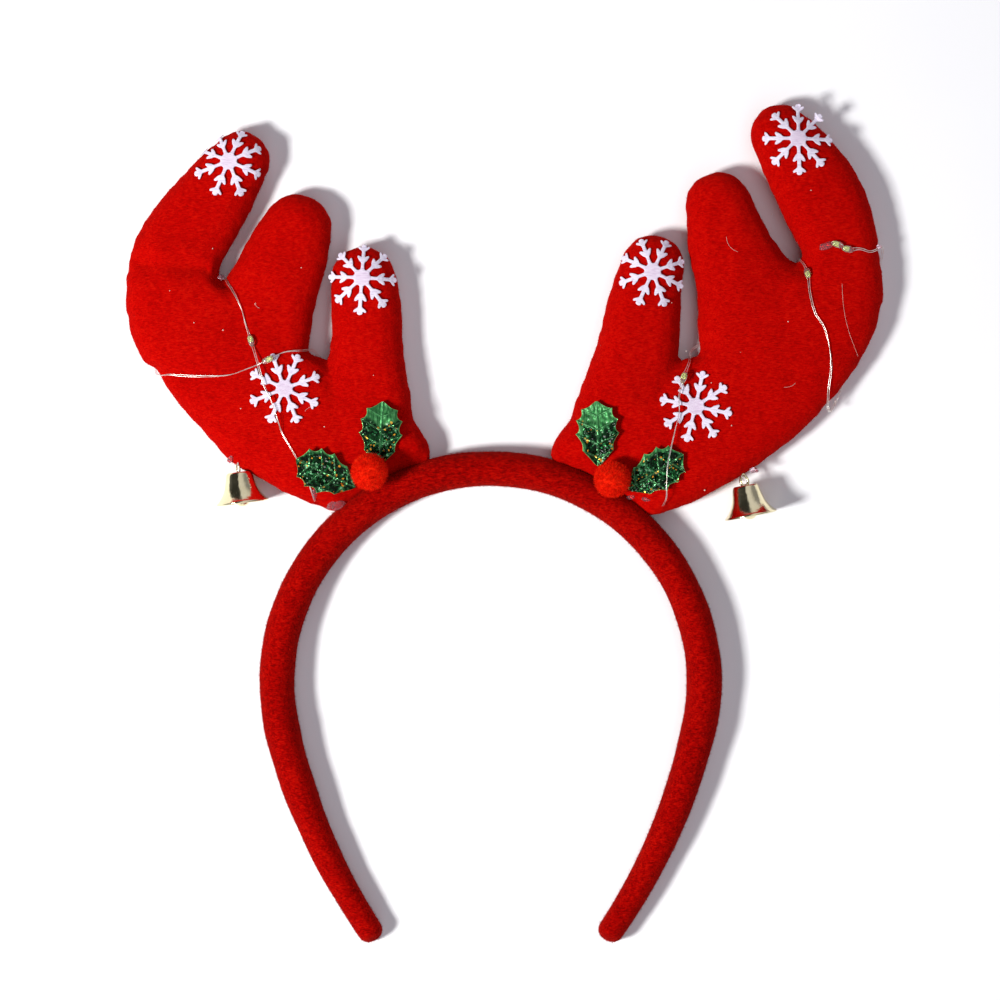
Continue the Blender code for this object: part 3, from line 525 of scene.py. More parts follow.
camera = bpy.data.objects.new("camera", bpy.data.cameras.new("camera"))
camera.location = (-1.49 * MM, 7.5 * MM, 1150 * MM)
camera.data.sensor_width = 36
camera.data.lens = 129.9
camera.data.clip_end = 20
scene.collection.objects.link(camera)
scene.camera = camera


def lamp(name, azimuth, elevation, distance, size, power):
    """Square lamp that faces the object; azimuth turns anticlockwise from the right."""
    round_z = Matrix.Rotation(math.radians(azimuth + 90), 4, "Z")
    round_x = Matrix.Rotation(math.radians(90 - elevation), 4, "X")
    light = bpy.data.objects.new(name, bpy.data.lights.new(name, "AREA"))
    light.data.size = size
    light.data.energy = power
    light.matrix_world = round_z @ round_x @ Matrix.Translation((0, 0, distance))
    scene.collection.objects.link(light)
    return light


key = lamp("key", 200, 48, 1.3, 0.24, 22)

room = bpy.data.worlds.new("room")
scene.world = room
room.use_nodes = True
walls = room.node_tree
sky = walls.nodes["Background"]
heading = walls.nodes.new("ShaderNodeTexCoord")
sides = walls.nodes.new("ShaderNodeSeparateXYZ")
share = walls.nodes.new("ShaderNodeMapRange")
share.inputs["From Min"].default_value = -1
shade = walls.nodes.new("ShaderNodeValToRGB")
# From the far left of the room to its far right.
set_stops(shade.color_ramp, (
    (0.0, (0.10, 0.10, 0.11)), (0.10, (0.03, 0.03, 0.03)), (0.41, (0.03, 0.03, 0.03)),
    (0.45, (0.76, 0.75, 0.82)), (0.68, (0.68, 0.67, 0.74)), (0.82, (0.26, 0.26, 0.30)),
))
walls.links.new(heading.outputs["Generated"], sides.inputs[0])
walls.links.new(sides.outputs["X"], share.inputs["Value"])
walls.links.new(share.outputs[0], shade.inputs[0])
walls.links.new(shade.outputs[0], sky.inputs[0])
print("camera", [round(1000 * c, 1) for c in camera.location], "key lamp", key.data.energy, "W")

# %% [markdown]
# ## Loose fibres
# Felt, plush and pompoms are fuzzy because thousands of fibre ends stand off the cloth. Blender's hair
# could grow them, but hair is not a mesh and is lost when the model is exported. Here each fibre is a
# thin blade of two quads, and all blades on a piece are one mesh, worked out in one go. Their roots
# stand a little inside the cloth, so no blade seems to float. Combed plush is longer than pressed
# felt, and a pompom's tufts stand almost straight.


# %% Fibres
# Columns: how many fibres, length and width in millimetres, lean in radians, and how much they curl.
BAND_NAP = (46000, 0.75, 0.075, 1.0, 0.5)
ANTLER_NAP = (40000, 0.6, 0.06, 1.25, 0.5)
BERRY_TUFTS = (9000, 1.25, 0.08, 0.42, 0.35)
ROOT_DEPTH = 0.05 * MM


def scattered(mesh, count, dice):
    """Random places over a mesh: triangles are drawn by area, places in them by two random shares."""
    a, b, c = triangles_of(mesh).transpose(1, 0, 2)
    across = np.cross(b - a, c - a)
    area = np.linalg.norm(across, axis=1)
    drawn = dice.choice(len(area), count, p=area / area.sum())
    first, second = dice.random((2, count, 1))
    first, second = np.where(first + second > 1, (1 - first, 1 - second), (first, second))
    places = a[drawn] + first * (b - a)[drawn] + second * (c - a)[drawn]
    return places, unit(across[drawn])


def fibres(name, cloth, nap, finish, seed):
    """Blades: root, root + half a length along the heading, then half a length more with a curl. The
    heading is the normal turned by the lean to a random side, and the blade narrows to its tip."""
    count, length, width, lean, curl = nap
    dice = np.random.default_rng(seed)
    places, normals = scattered(cloth.data, count, dice)
    sideways = unit(np.cross(normals, dice.normal(size=(count, 3))))
    lean = lean * dice.uniform(0.5, 1.3, (count, 1))
    heading = normals * np.cos(lean) + sideways * np.sin(lean)
    reach = length * MM * dice.uniform(0.45, 1.2, (count, 1)) / 2
    middle = places + heading * reach
    tip = middle + unit(heading + curl * dice.normal(size=(count, 3))) * reach
    flat = unit(np.cross(heading, dice.normal(size=(count, 3)))) * (width * MM) / 2
    root = places - normals * ROOT_DEPTH
    rows = [root - flat, root + flat, middle - 0.8 * flat, middle + 0.8 * flat,
            tip - 0.25 * flat, tip + 0.25 * flat]
    points = np.stack(rows, axis=1).reshape(-1, 3)
    points[:, 2] = np.maximum(points[:, 2], 0.0)
    corners = np.array([(0, 1, 3, 2), (2, 3, 5, 4)])
    faces = (np.arange(count)[:, None, None] * 6 + corners).reshape(-1, 4)
    mesh = bpy.data.meshes.new(name)
    mesh.from_pydata(points.tolist(), [], faces.tolist())
    fuzz = dressed(name, mesh, finish, False)
    point_attribute(fuzz, "tone", np.repeat(dice.random(count)**1.5, 6))
    print(name, count, "fibres")


# %% [markdown]
# ## The headband
# A flat plastic bow inside a soft padded cover: it follows a circle over the head, then two straighter
# arms that close in and grow thinner towards rounded tips. The cover is one closed surface carried
# along that line. Its section is an ellipse that is flatter where it rests on the table, with a
# stitched seam along the inner side, and slow swells keep it from looking machined.

# %% Headband
BAND_TURN = math.radians(103)
ARM_RADIUS = 190 * MM
ARM_LENGTH = 69.6 * MM
TIP_SHARE = 0.74
BAND_ROWS = 520
BAND_COLUMNS = 48
# Below this share of its half depth, the section is flat, as it lies on the table.
RESTS_AT = 0.93


def band_surface():
    """Rows along the centre line and columns round it. The line is an arc of BAND_RADIUS and then one of
    ARM_RADIUS; the section is (width * sin a, depth * cos a) with a low ridge for the seam, scaled down
    along the arm and closed at the tip as a quarter circle closes."""
    over = BAND_RADIUS * BAND_TURN
    reach = BAND_WIDTH / 2 * TIP_SHARE
    run = np.linspace(0, over + ARM_LENGTH + reach, BAND_ROWS)
    run = run + reach * 0.12 * np.sin(math.pi * np.clip((run - over - ARM_LENGTH) / reach, 0, 1))
    along = np.clip(run - over, 0, None)
    turn = np.minimum(run, over) / BAND_RADIUS + along / ARM_RADIUS
    bow, arm = np.minimum(turn, BAND_TURN), np.maximum(turn, BAND_TURN)
    x = BAND_RADIUS * np.sin(bow) + ARM_RADIUS * (np.sin(arm) - math.sin(BAND_TURN))
    y = BAND_RADIUS * np.cos(bow) + ARM_RADIUS * (np.cos(arm) - math.cos(BAND_TURN))
    size = 1 - (1 - TIP_SHARE) * np.clip(along / ARM_LENGTH, 0, 1)
    size = size * np.sqrt(np.clip(1 - np.clip((along - ARM_LENGTH) / reach, 0, 0.9995)**2, 0, 1))
    line = np.column_stack([x, y, turn, size])
    line = np.vstack([(line * [-1, 1, -1, 1])[:0:-1], line])
    x, y, turn, size = line.T[:, :, None]
    around = turns(BAND_COLUMNS, 0.5)
    across = BAND_WIDTH / 2 * size * np.sin(around)
    across = across + np.exp(-((around - 1.58 * math.pi) / 0.07)**2) * 0.35 * MM * size
    up = np.maximum(np.cos(around), -RESTS_AT) * BAND_DEPTH / 2 * size + RESTS_AT * BAND_DEPTH / 2 * size
    points = np.stack([x + across * np.sin(turn), y + across * np.cos(turn), up], axis=-1)
    return points.reshape(-1, 3) + (*CENTRE, 0), len(line)


band_points, band_rows = band_surface()
band_points[:, :2] += 0.12 * MM * waviness(band_points, 22 * MM, 5)[:, None]
band_points[:, 2] = np.maximum(band_points[:, 2] + 0.12 * MM * waviness(band_points, 15 * MM, 6), 0)
headband = piece("headband_cover", band_points, tube_faces(band_rows, BAND_COLUMNS),
                 plush_red.material, "plush_red")
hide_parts("headband")
fibres("headband_nap", headband, BAND_NAP, plush_fibre.material, 11)
print("band", len(headband.data.polygons), "faces, lies at", 1000 * band_points[:, 2].min(), "mm")

# %% [markdown]
# ## The stuffed antlers
# Two layers of felt are stitched together round the edge, turned, and stuffed. Stuffing pushes the
# felt outwards, most where the antler is wide and least at the seam, and pulls small puckers into
# the tight curves. A cloth simulation gives just that: the solid's shape is remeshed into even
# faces, the seam is pinned, air pressure blows the rest up, and no point may travel far.

# %% Stuffing the antlers
VOXEL = 1.4 * MM
SHRINK = 0.35 * MM
CLOTH_STEPS = 20
PINNED = 1.3 * MM
SWELL_LIMIT = 1.5 * MM


def shape_of(thing):
    """The object's mesh with its modifiers applied."""
    bpy.context.view_layer.update()
    graph = bpy.context.evaluated_depsgraph_get()
    return bpy.data.meshes.new_from_object(thing.evaluated_get(graph))


def even_copy(node):
    """The solid's triangles, merged, shrunk by a third of a millimetre and remeshed into even quads."""
    mesh = bpy.data.meshes.new("felt")
    shape = bmesh.new()
    shape.from_mesh(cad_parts[node].data)
    bmesh.ops.remove_doubles(shape, verts=shape.verts[:], dist=0.00001)
    shape.to_mesh(mesh)
    shape.free()
    points = points_of(mesh) - SHRINK * normals_of(mesh)
    mesh.vertices.foreach_set("co", points.ravel())
    thing = bpy.data.objects.new("felt", mesh)
    scene.collection.objects.link(thing)
    voxels = thing.modifiers.new("even", "REMESH")
    voxels.mode = "VOXEL"
    voxels.voxel_size = VOXEL
    thing.data = shape_of(thing)
    thing.modifiers.clear()
    return thing


def stuffed(thing):
    """Air pressure inside the felt, with the seam pinned: some steps of Cloth, then the result is kept."""
    before = points_of(thing.data)
    pinned = thing.vertex_groups.new(name="seam")
    near_seam = np.flatnonzero(np.abs(before[:, 2] - SEAM_Z) < PINNED)
    pinned.add(near_seam.tolist(), 1.0, "REPLACE")
    cloth = thing.modifiers.new("cloth", "CLOTH")
    cloth.settings.quality = 6
    cloth.settings.mass = 0.3
    cloth.settings.tension_stiffness = 12
    cloth.settings.compression_stiffness = 12
    cloth.settings.bending_stiffness = 0.5
    cloth.settings.use_pressure = True
    cloth.settings.uniform_pressure_force = 4
    cloth.settings.effector_weights.gravity = 0
    cloth.settings.vertex_group_mass = "seam"
    cloth.point_cache.frame_start = 1
    cloth.point_cache.frame_end = CLOTH_STEPS
    for number in range(1, CLOTH_STEPS + 1):
        scene.frame_set(number)
    after = points_of(shape_of(thing))
    thing.modifiers.clear()
    thing.vertex_groups.clear()
    scene.frame_set(1)
    travel = after - before
    far = np.linalg.norm(travel, axis=1, keepdims=True)
    print("felt moved", np.round(1000 * np.percentile(far, (50, 90, 100)), 2), "mm")
    return before + travel * np.minimum(1, SWELL_LIMIT / np.maximum(far, 1e-9))


# %% [markdown]
# ## Seam, folds and puckers
# What the simulation can't know comes after it, as small moves of whole arrays of points: the groove
# of the seam, the deep fold across the root of the left antler's outer prong, the dents where a wire
# or a notch pulls the edge in, the little puckers of a turned edge, and the feet pressed on the band.

# %% The antlers' felt
# Folds. Columns: from outwards and up, to outwards and up, depth and spread in millimetres.
FOLDS = {
    "left": ((0.600, 0.575, 0.430, 0.562, 1.1, 1.9), (0.585, 0.610, 0.475, 0.600, -0.8, 3.0),
             (0.560, 0.290, 0.470, 0.285, 0.8, 2.0)),
    "right": ((0.240, 0.345, 0.225, 0.240, 0.7, 3.0), (0.505, 0.575, 0.525, 0.500, 0.7, 2.4),
              (0.330, 0.700, 0.322, 0.480, -0.5, 4.0)),
}

# Dents where a wire or a stitched notch pulls the edge in. Columns: outwards and up, then the pull to the
# right, the pull up and the spread, in millimetres.
DENTS = {
    "left": ((0.572, 0.292, 1.4, 0.5, 3.0), (0.352, 0.068, -0.9, -0.7, 7.0),
             (0.368, 0.556, -3.2, -4.2, 4.6), (0.146, 0.352, -2.2, -1.6, 3.2)),
    "right": ((0.577, 0.190, -0.7, 0.4, 2.5), (0.716, 0.612, -0.8, 0.0, 2.5),
              (0.486, 0.582, 3.0, -3.4, 4.5), (0.245, 0.360, 1.8, 0.4, 5.0),
              (0.220, 0.345, 1.6, -1.6, 3.2)),
}
EDGE_OUT = 0.85 * MM
PUCKER = 0.16 * MM
GROOVE = 0.3 * MM
SWELL = 0.14 * MM
# The foot sinks this far into the plush, and is drawn in over the last few millimetres before it.
PRESSED = 0.9 * MM
DRAWN_IN = 1.4 * MM
DRAWN_OVER = 4.5 * MM


def line_distance(points, start, end):
    """How far each point lies from the stretch between two points, on the table."""
    run = end - start
    share = np.clip((points[:, :2] - start) @ run / (run @ run), 0, 1)
    return np.hypot(*(points[:, :2] - start - share[:, None] * run).T)


def antler_felt(side):
    """The stuffed shape with its details. Folds and dents are bell curves of the distance from a line or
    a place; the seam's groove is one of the height; puckers and swells are random waves."""
    thing = even_copy("antler_" + side)
    points = stuffed(thing)
    mesh = thing.data
    normals = normals_of(mesh)
    front = np.clip((points[:, 2] - SEAM_Z) / (3 * MM), 0, 1)
    for row in FOLDS[side]:
        away = line_distance(points, on_antler(side, row[0:2]), on_antler(side, row[2:4]))
        points[:, 2] -= front * row[4] * MM * np.exp(-(away / (row[5] * MM))**2)
    edge = np.clip(1 - np.abs(points[:, 2] - SEAM_Z) / (4 * MM), 0, 1)
    pucker = waviness(points * (1, 1, 0.25), 4.5 * MM, 31 + len(side))
    groove = np.exp(-((points[:, 2] - SEAM_Z) / (0.9 * MM))**2)
    level = np.hypot(normals[:, 0], normals[:, 1])
    points += normals * ((EDGE_OUT + PUCKER * edge * pucker - GROOVE * groove) * level)[:, None]
    for out, up, right, forward, spread in DENTS[side]:
        away = np.hypot(*(points[:, :2] - on_antler(side, (out, up))).T)
        points[:, :2] += np.exp(-(away / (spread * MM))**2)[:, None] * np.array([right, forward]) * MM
    from_centre = points[:, :2] - CENTRE
    reach = np.hypot(*from_centre.T)
    least = BAND_RADIUS + BAND_WIDTH / 2 - PRESSED
    drawn = reach - DRAWN_IN * np.clip(1 - (reach - least) / DRAWN_OVER, 0, 1)
    points[:, :2] += from_centre * (np.maximum(drawn, least) / reach - 1)[:, None]
    points[:, 2] += SWELL * front * waviness(points, 13 * MM, 47 + len(side))
    points[:, 2] = np.maximum(points[:, 2], 0.0)
    mesh.vertices.foreach_set("co", points.ravel())
    finer = thing.modifiers.new("finer", "SUBSURF")
    finer.levels = 1
    finer.render_levels = 1
    mesh = shape_of(thing)
    bpy.data.objects.remove(thing)
    felt = dressed("antler_" + side + "_felt", mesh, felt_red.material)
    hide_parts("antler_" + side)
    return felt


antlers = {side: antler_felt(side) for side in SIDES}
for side, felt in antlers.items():
    fibres("antler_" + side + "_nap", felt, ANTLER_NAP, felt_fibre.material, 21 + len(side))
    top = points_of(felt.data)[:, 2].max()
    print(side, "antler", len(felt.data.polygons), "faces, top", round(1000 * top, 1), "mm")

# %% [markdown]
# ## A map of the felt
# Everything glued to an antler has to follow its swelling surface. A height map makes that easy for
# whole arrays: the felt's triangles are filled with points, each cell of a fine grid keeps its highest
# one, and a blurred copy gives the bed of something stiffer that bridges the small dips.

# %% Height maps
CELL = 0.5 * MM


class FeltMap:
    """Heights of one antler's front and back felt over a grid of cells."""

    def __init__(self, felt):
        corners = triangles_of(felt.data)
        shares = np.array([(i, j, 4 - i - j) for i in range(5) for j in range(5 - i)]) / 4
        points = np.einsum("sc,tcx->tsx", shares, corners).reshape(-1, 3)
        self.low = points[:, :2].min(axis=0) - 12 * MM
        self.shape = tuple(np.ceil((points[:, :2].max(axis=0) + 12 * MM - self.low) / CELL).astype(int))
        cells = tuple(((points[:, :2] - self.low) / CELL).astype(int).T)
        self.top = np.full(self.shape, -1.0)
        np.maximum.at(self.top, cells, points[:, 2])
        self.bottom = np.full(self.shape, 1.0)
        np.minimum.at(self.bottom, cells, points[:, 2])
        self.inside = self.top > 0
        self.soft = {}

    def blurred(self, heights, radius):
        """Average of the felt's cells round each one, weighted by a bell curve; empty ones don't count."""
        steps = np.arange(-int(3 * radius / CELL), int(3 * radius / CELL) + 1)
        weight = np.exp(-(steps * CELL / radius)**2 / 2)
        sums = []
        for field in (np.where(self.inside, heights, 0), self.inside.astype(float)):
            for axis in (0, 1):
                field = sum(w * np.roll(field, s, axis) for w, s in zip(weight, steps))
            sums.append(field)
        return sums[0] / np.maximum(sums[1], 1e-9), sums[1]

    def heights(self, plan, radius=0.6 * MM, back=False, wraps=False):
        """Height of the front or back felt under each place. Beyond the edge it stays level, or drops
        away, as a sheet does that wraps round the edge."""
        key = (radius, back, wraps)
        if key not in self.soft:
            near, weight = self.blurred(self.bottom if back else self.top, radius)
            far, _ = self.blurred(self.bottom if back else self.top, 4 * MM)
            if wraps:
                _, share = self.blurred(self.top, 1.6 * MM)
                far = SEAM_Z + 1.0 * MM - 9 * MM * (0.5 - share / share.max())
                self.soft[key] = np.where(self.inside, near, np.minimum(far, near))
            else:
                self.soft[key] = np.where(weight > 0.05 * weight.max(), near, far)
        where = (np.asarray(plan) - self.low) / CELL - 0.5
        corner = np.clip(where.astype(int), 0, np.array(self.shape) - 2)
        x, y = (where - corner).T
        i, j = corner.T
        field = self.soft[key]
        return ((1 - x) * (1 - y) * field[i, j] + x * (1 - y) * field[i + 1, j]
                + (1 - x) * y * field[i, j + 1] + x * y * field[i + 1, j + 1])


felt_maps = {side: FeltMap(felt) for side, felt in antlers.items()}
print("maps", {side: found.shape for side, found in felt_maps.items()})

# %% [markdown]
# ## Snowflakes
# Each is punched from a millimetre of felt: eight arms on a hub, a pair of barbs half way out and a
# three-lobed tip. One arm is a flat, soft-edged section whose half width changes along it, and the
# section's rows are bent into a V, which turns each widening into barbs that point outwards. The
# flat shape is then laid on the map: each point keeps its distance from the hub along the felt.

# %% Snowflakes
FLAKE_RADIUS = 11.8 * MM
FLAKE_ARMS = 8
FELT_SHEET = 0.7 * MM
# Columns: outwards and up as shares of the antler's height, the first arm's turn in degrees, how far
# the sheet bridges the felt's dips in millimetres, and whether it is glued down round the felt's edge.
FLAKES = {
    "left": ((0.368, 0.836, 22, 0.9, True), (0.023, 0.534, -3, 1.6, False),
             (0.223, 0.247, 20, 1.2, False)),
    "right": ((0.487, 0.895, 0, 1.8, False), (0.110, 0.550, 20, 1.5, False),
              (0.221, 0.201, 32, 1.2, False)),
}
# Half of an arm's outline, from the hub to the tip: along and across, as shares of the radius.
ARM_EDGE = (
    (0.16, 0.062), (0.28, 0.046), (0.39, 0.044), (0.440, 0.066), (0.475, 0.102), (0.525, 0.132),
    (0.575, 0.158), (0.612, 0.168), (0.637, 0.154), (0.634, 0.118), (0.608, 0.078), (0.603, 0.052),
    (0.68, 0.050), (0.76, 0.050), (0.80, 0.062), (0.840, 0.110), (0.875, 0.152), (0.910, 0.174),
    (0.940, 0.158), (0.934, 0.118), (0.918, 0.084), (0.936, 0.076), (0.965, 0.074), (0.995, 0.050),
    (1.008, 0.012),
)
HUB = 0.24
BARB_SLANT = 0.62


def arm_outline():
    """A smooth line through the outline's points. Its foot, x - slant * y, may never step back."""
    x, y = smooth_rows(ARM_EDGE, 4).T
    return np.maximum.accumulate(x - BARB_SLANT * y), np.maximum(y, 0.006)


def flat_flake(first, dice):
    """Points of the flat cut and its faces. An arm's row: x = foot + slant * |y|, y = half width * a
    squared-off cosine, z by a squared-off sine. The hub: a disc whose rim is HUB + 0.02 cos(8 a)."""
    foot, half = arm_outline()
    around = turns(20, 0.5)
    wide = squared_off(np.cos(around), 0.7)
    tall = 0.5 + 0.5 * squared_off(np.sin(around), 0.45)
    parts = []
    for number in range(FLAKE_ARMS):
        turn = math.radians(first) + number * 2 * math.pi / FLAKE_ARMS + dice.normal() * 0.02
        y = half[:, None] * wide
        x = (foot[:, None] + BARB_SLANT * np.abs(y)) * dice.uniform(0.97, 1.0)
        z = np.broadcast_to(tall, y.shape)
        right, ahead = x * math.cos(turn) - y * math.sin(turn), x * math.sin(turn) + y * math.cos(turn)
        flat = np.stack([right, ahead, z], axis=-1)
        parts.append((flat.reshape(-1, 3), tube_faces(len(foot), len(around))))
    angle = turns(96)
    rim = HUB + 0.02 * np.cos(FLAKE_ARMS * (angle - math.radians(first)))
    # Rows of the disc: share of the way out and height, over the top, down the edge and back below.
    rows = [(share, 1.03) for share in (0.02, 0.3, 0.6, 0.85, 0.95)] + [(1.0, 0.8), (1.0, 0.2)]
    rows += [(share, 0.0) for share in (0.95, 0.6, 0.3, 0.02)]
    out, up = np.array(rows).T[:, :, None]
    hub = np.stack([out * rim * np.cos(angle), out * rim * np.sin(angle), 0 * angle + up], axis=-1)
    parts.append((hub.reshape(-1, 3), tube_faces(len(rows), len(angle))))
    return joined(parts)


def cut_area():
    """Flat area of the cut: the hub's disc, and twice the half width along each arm outside it."""
    foot, half = arm_outline()
    arm = 2 * np.sum(np.diff(foot) * (half[1:] + half[:-1]) / 2 * (foot[1:] > HUB))
    return (math.pi * HUB**2 + FLAKE_ARMS * arm) * FLAKE_RADIUS**2


def laid(felt_map, centre, flat, radius, wraps):
    """The share of each point's way out at which a string along the felt is as long as it was flat."""
    share = np.linspace(0, 1, 33)
    line = centre + share[:, None, None] * flat
    height = felt_map.heights(line.reshape(-1, 2), radius, wraps=wraps).reshape(line.shape[:2])
    full = np.hypot(*flat.T)
    step = full / (len(share) - 1)
    run = np.vstack([np.zeros(len(flat)), np.cumsum(np.hypot(np.diff(height, axis=0), step), axis=0)])
    past = np.argmax(run >= full - 1e-9, axis=0).clip(1)
    column = np.arange(len(flat))
    before, after = run[past - 1, column], run[past, column]
    kept = share[past - 1] + (full - before) / np.maximum(after - before, 1e-9) * share[1]
    return centre + np.clip(kept, 0, 1)[:, None] * flat


def add_flake(side, number, row):
    dice = np.random.default_rng(71 + 10 * number + len(side))
    out, up, first, bridge, wraps = row
    points, faces = flat_flake(first, dice)
    outward = np.hypot(*points[:, :2].T)
    felt_map = felt_maps[side]
    plan = laid(felt_map, on_antler(side, (out, up)), points[:, :2] * FLAKE_RADIUS, bridge * MM, wraps)
    bed = felt_map.heights(plan, bridge * MM, wraps=wraps)
    bed = np.maximum(bed, felt_map.heights(plan, 0.5 * MM, wraps=wraps) - 0.2 * MM)
    lift = 0.12 * MM * (1 + waviness(points * FLAKE_RADIUS, 9 * MM, 90 + number)) * outward
    placed = np.column_stack([plan, bed + 0.1 * MM + lift + points[:, 2] * FELT_SHEET])
    name = f"snowflake_{side}_{number}"
    flake = piece(name + "_felt", placed, faces, felt_white.material, "felt_white")
    point_attribute(flake, "outward", outward)
    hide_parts(name)
    cut_area()
    return flake


flakes = [add_flake(side, number, row) for side in SIDES for number, row in enumerate(FLAKES[side], 1)]
print(len(flakes), "snowflakes, each cut", round(cut_area() * 1e6), "square mm from",
      round(2000 * FLAKE_RADIUS, 1), "mm")

# %% [markdown]
# ## Holly leaves
# A leaf is a strip along its vein whose half width swings between spines: the scallop between two
# spines is a hollow arc. Its rows are V-shaped too, so the spines and the embossed side veins lean
# towards the tip. The leaf is folded a little along its vein, and its foil is crumpled.

# %% Holly leaves
LEAF_LENGTH = 20.4 * MM
LEAF_WIDTH = 13.4 * MM
LEAF_SHEET = 0.3 * MM
SPINES = np.array([0.0, 0.13, 0.34, 0.56, 0.77, 1.0])
HOLLOWS = np.array([0.05, 0.17, 0.16, 0.16, 0.19])
# Columns: root outwards, root up, heading in degrees, lift over the felt in millimetres, and where the
# leaf is plain: past that share of its length, and past that share of its width.
LEAVES = {
    "left": ((0.040, -0.008, 155, 1.0, 1.1, 0.86), (-0.020, 0.045, 86, 0.7, 0.60, -0.95)),
    "right": ((0.047, -0.015, 33, 0.5, 1.1, 0.80), (-0.030, 0.046, 92, 0.7, 0.55, -0.80)),
}
# How wide the leaf would be without hollows. Columns: distance along the vein, half width.
LEAF_REACH = ((0.0, 0.12), (0.13, 0.74), (0.34, 1.04), (0.56, 1.0), (0.77, 0.74), (1.0, 0.02))


def leaf_surface(seed):
    """Flat points in shares: t runs across from -1 to 1, y = t * w(s), x = s + 0.16 * |y|; and the relief:
    a fold, a ridge on the vein, side veins at the spines and crumpling."""
    reach = np.array(LEAF_REACH)
    s, t = np.linspace(0, 1, 150), np.linspace(-1, 1, 71)
    stretch = np.clip(np.searchsorted(SPINES, s, side="right") - 1, 0, len(SPINES) - 2)
    between = (s - SPINES[stretch]) / (SPINES[stretch + 1] - SPINES[stretch])
    half = np.interp(s, reach[:, 0], reach[:, 1]) * (1 - HOLLOWS[stretch] * np.sin(math.pi * between)**0.8)
    y = half[:, None] * t
    x = s[:, None] + 0.16 * np.abs(y)
    veins = sum(np.exp(-((s - spine) / 0.013)**2) for spine in SPINES[1:-1])[:, None] * (1 - t**4)
    centre_vein = np.exp(-(y / 0.045)**2)
    flat = np.stack([x, y * LEAF_WIDTH / 2 / LEAF_LENGTH, 0 * x], axis=-1).reshape(-1, 3) * LEAF_LENGTH
    crumple = waviness(flat, 2.2 * MM, seed) * 0.12 + waviness(flat, 5.5 * MM, seed + 1) * 0.22
    relief = 0.95 * np.abs(y) + 0.26 * veins + 0.28 * centre_vein
    marks = {"rim": np.abs(np.broadcast_to(t, y.shape)), "vein": np.maximum(veins, centre_vein),
             "along": np.broadcast_to(s[:, None], y.shape), "across": np.broadcast_to(t, y.shape)}
    marks = {key: mark.ravel() for key, mark in marks.items()}
    return flat[:, :2], (relief.ravel() + crumple) * MM, marks, x.shape


def add_leaf(side, number, row):
    """The flat leaf turned to its heading, laid over the felt, and curled up a little towards its tip."""
    out, up, heading, lift, plain_from, plain_side = row
    flat, relief, marks, shape = leaf_surface(200 + 10 * number + len(side))
    turn = math.radians(heading)
    forward = np.array([math.cos(turn), math.sin(turn)])
    sideways = np.array([-forward[1], forward[0]])
    plan = on_antler(side, (out, up)) + flat[:, :1] * forward + flat[:, 1:2] * sideways
    felt_map = felt_maps[side]
    high = np.maximum(felt_map.heights(plan, 2.5 * MM), felt_map.heights(plan, 0.6 * MM) - 0.2 * MM)
    curl = 0.9 * MM * np.clip(flat[:, 0] / LEAF_LENGTH, 0, 1)**2
    points = np.column_stack([plan, high + lift * MM + 0.2 * MM + relief + curl])
    name = f"holly_leaf_{side}_{number}"
    leaf = piece(name + "_foil", points, grid_faces(*shape, False), foil_green.material, "foil_green")
    if leaf.data.polygons[len(leaf.data.polygons) // 2].normal.z < 0:
        leaf.data.flip_normals()
    upper = -marks["across"] if 90 < heading < 180 else marks["across"]
    plain = np.maximum(marks["along"] - plain_from,
                       (upper * np.sign(plain_side) - abs(plain_side)) * 0.8)
    point_attribute(leaf, "plain", np.clip(0.5 + plain * 5, 0, 1))
    point_attribute(leaf, "rim", marks["rim"])
    point_attribute(leaf, "vein", marks["vein"])
    wall = leaf.modifiers.new("foil", "SOLIDIFY")
    wall.thickness = LEAF_SHEET
    wall.offset = -1
    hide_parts(name)
    return leaf


leaves = [add_leaf(side, number, row) for side in SIDES for number, row in enumerate(LEAVES[side], 1)]
print(len(leaves), "leaves of", len(leaves[0].data.polygons), "faces")

# %% [markdown]
# ## Pompom berries
# A craft pompom is a ball of cut yarn ends. A matted core carries thousands of short fibres that
# point outwards and curl a little, so the outline is fuzzy and the light sinks in between.

# %% Pompoms
BERRY_RADIUS = 5.6 * MM
for side in SIDES:
    low, high = (np.array(corner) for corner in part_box("berry_" + side))
    middle = (low + high) / 2
    middle[2] = high[2] - BERRY_RADIUS
    points, faces = lump(middle, BERRY_RADIUS - 0.7 * MM, rows=40, columns=64)
    points[:, 2] = np.maximum(points[:, 2], low[2] + 0.3 * MM)
    points += unit(points - middle) * (0.22 * MM * waviness(points, 2.4 * MM, 9))[:, None]
    core = piece("berry_" + side + "_core", points, faces, tuft_core.material, "tuft_red")
    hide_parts("berry_" + side)
    fibres("berry_" + side + "_tufts", core, BERRY_TUFTS, tuft_fibre.material, 301 + len(side))
    print(side, "pompom at", np.round(1000 * middle, 1))

# %% [markdown]
# ## Bells
# Small pressed-brass bells: a flat crown, a waist, a mouth that flares to a rolled rim, a wire ear on
# top and a ball inside. Bell and ball are turned profiles, carried round the axis and then laid down:
# the bells lie on the table with the axis level and the rim touching it. The ear is a bent tube.

# %% Bells and clappers
BELL_RADIUS = 8.35 * MM
BELL_HEIGHT = 9.7 * MM
BELL_WALL = 0.45 * MM
RIM_ROLL = 0.42 * MM
CLAPPER_RADIUS = 2.6 * MM
STEM_RADIUS = 0.32 * MM
HANGS_FROM = 0.9 * MM
LEANS_BY = 2.2 * MM
# Crown outwards and up as shares of the antler's height, the heading of the mouth in degrees, and the
# ear's half width, half height and wire radius in millimetres.
BELLS = {"left": (0.345, 0.031, -82.5, 0.6, 1.5, 0.26), "right": (0.352, -0.003, -79.0, 1.45, 1.85, 0.45)}
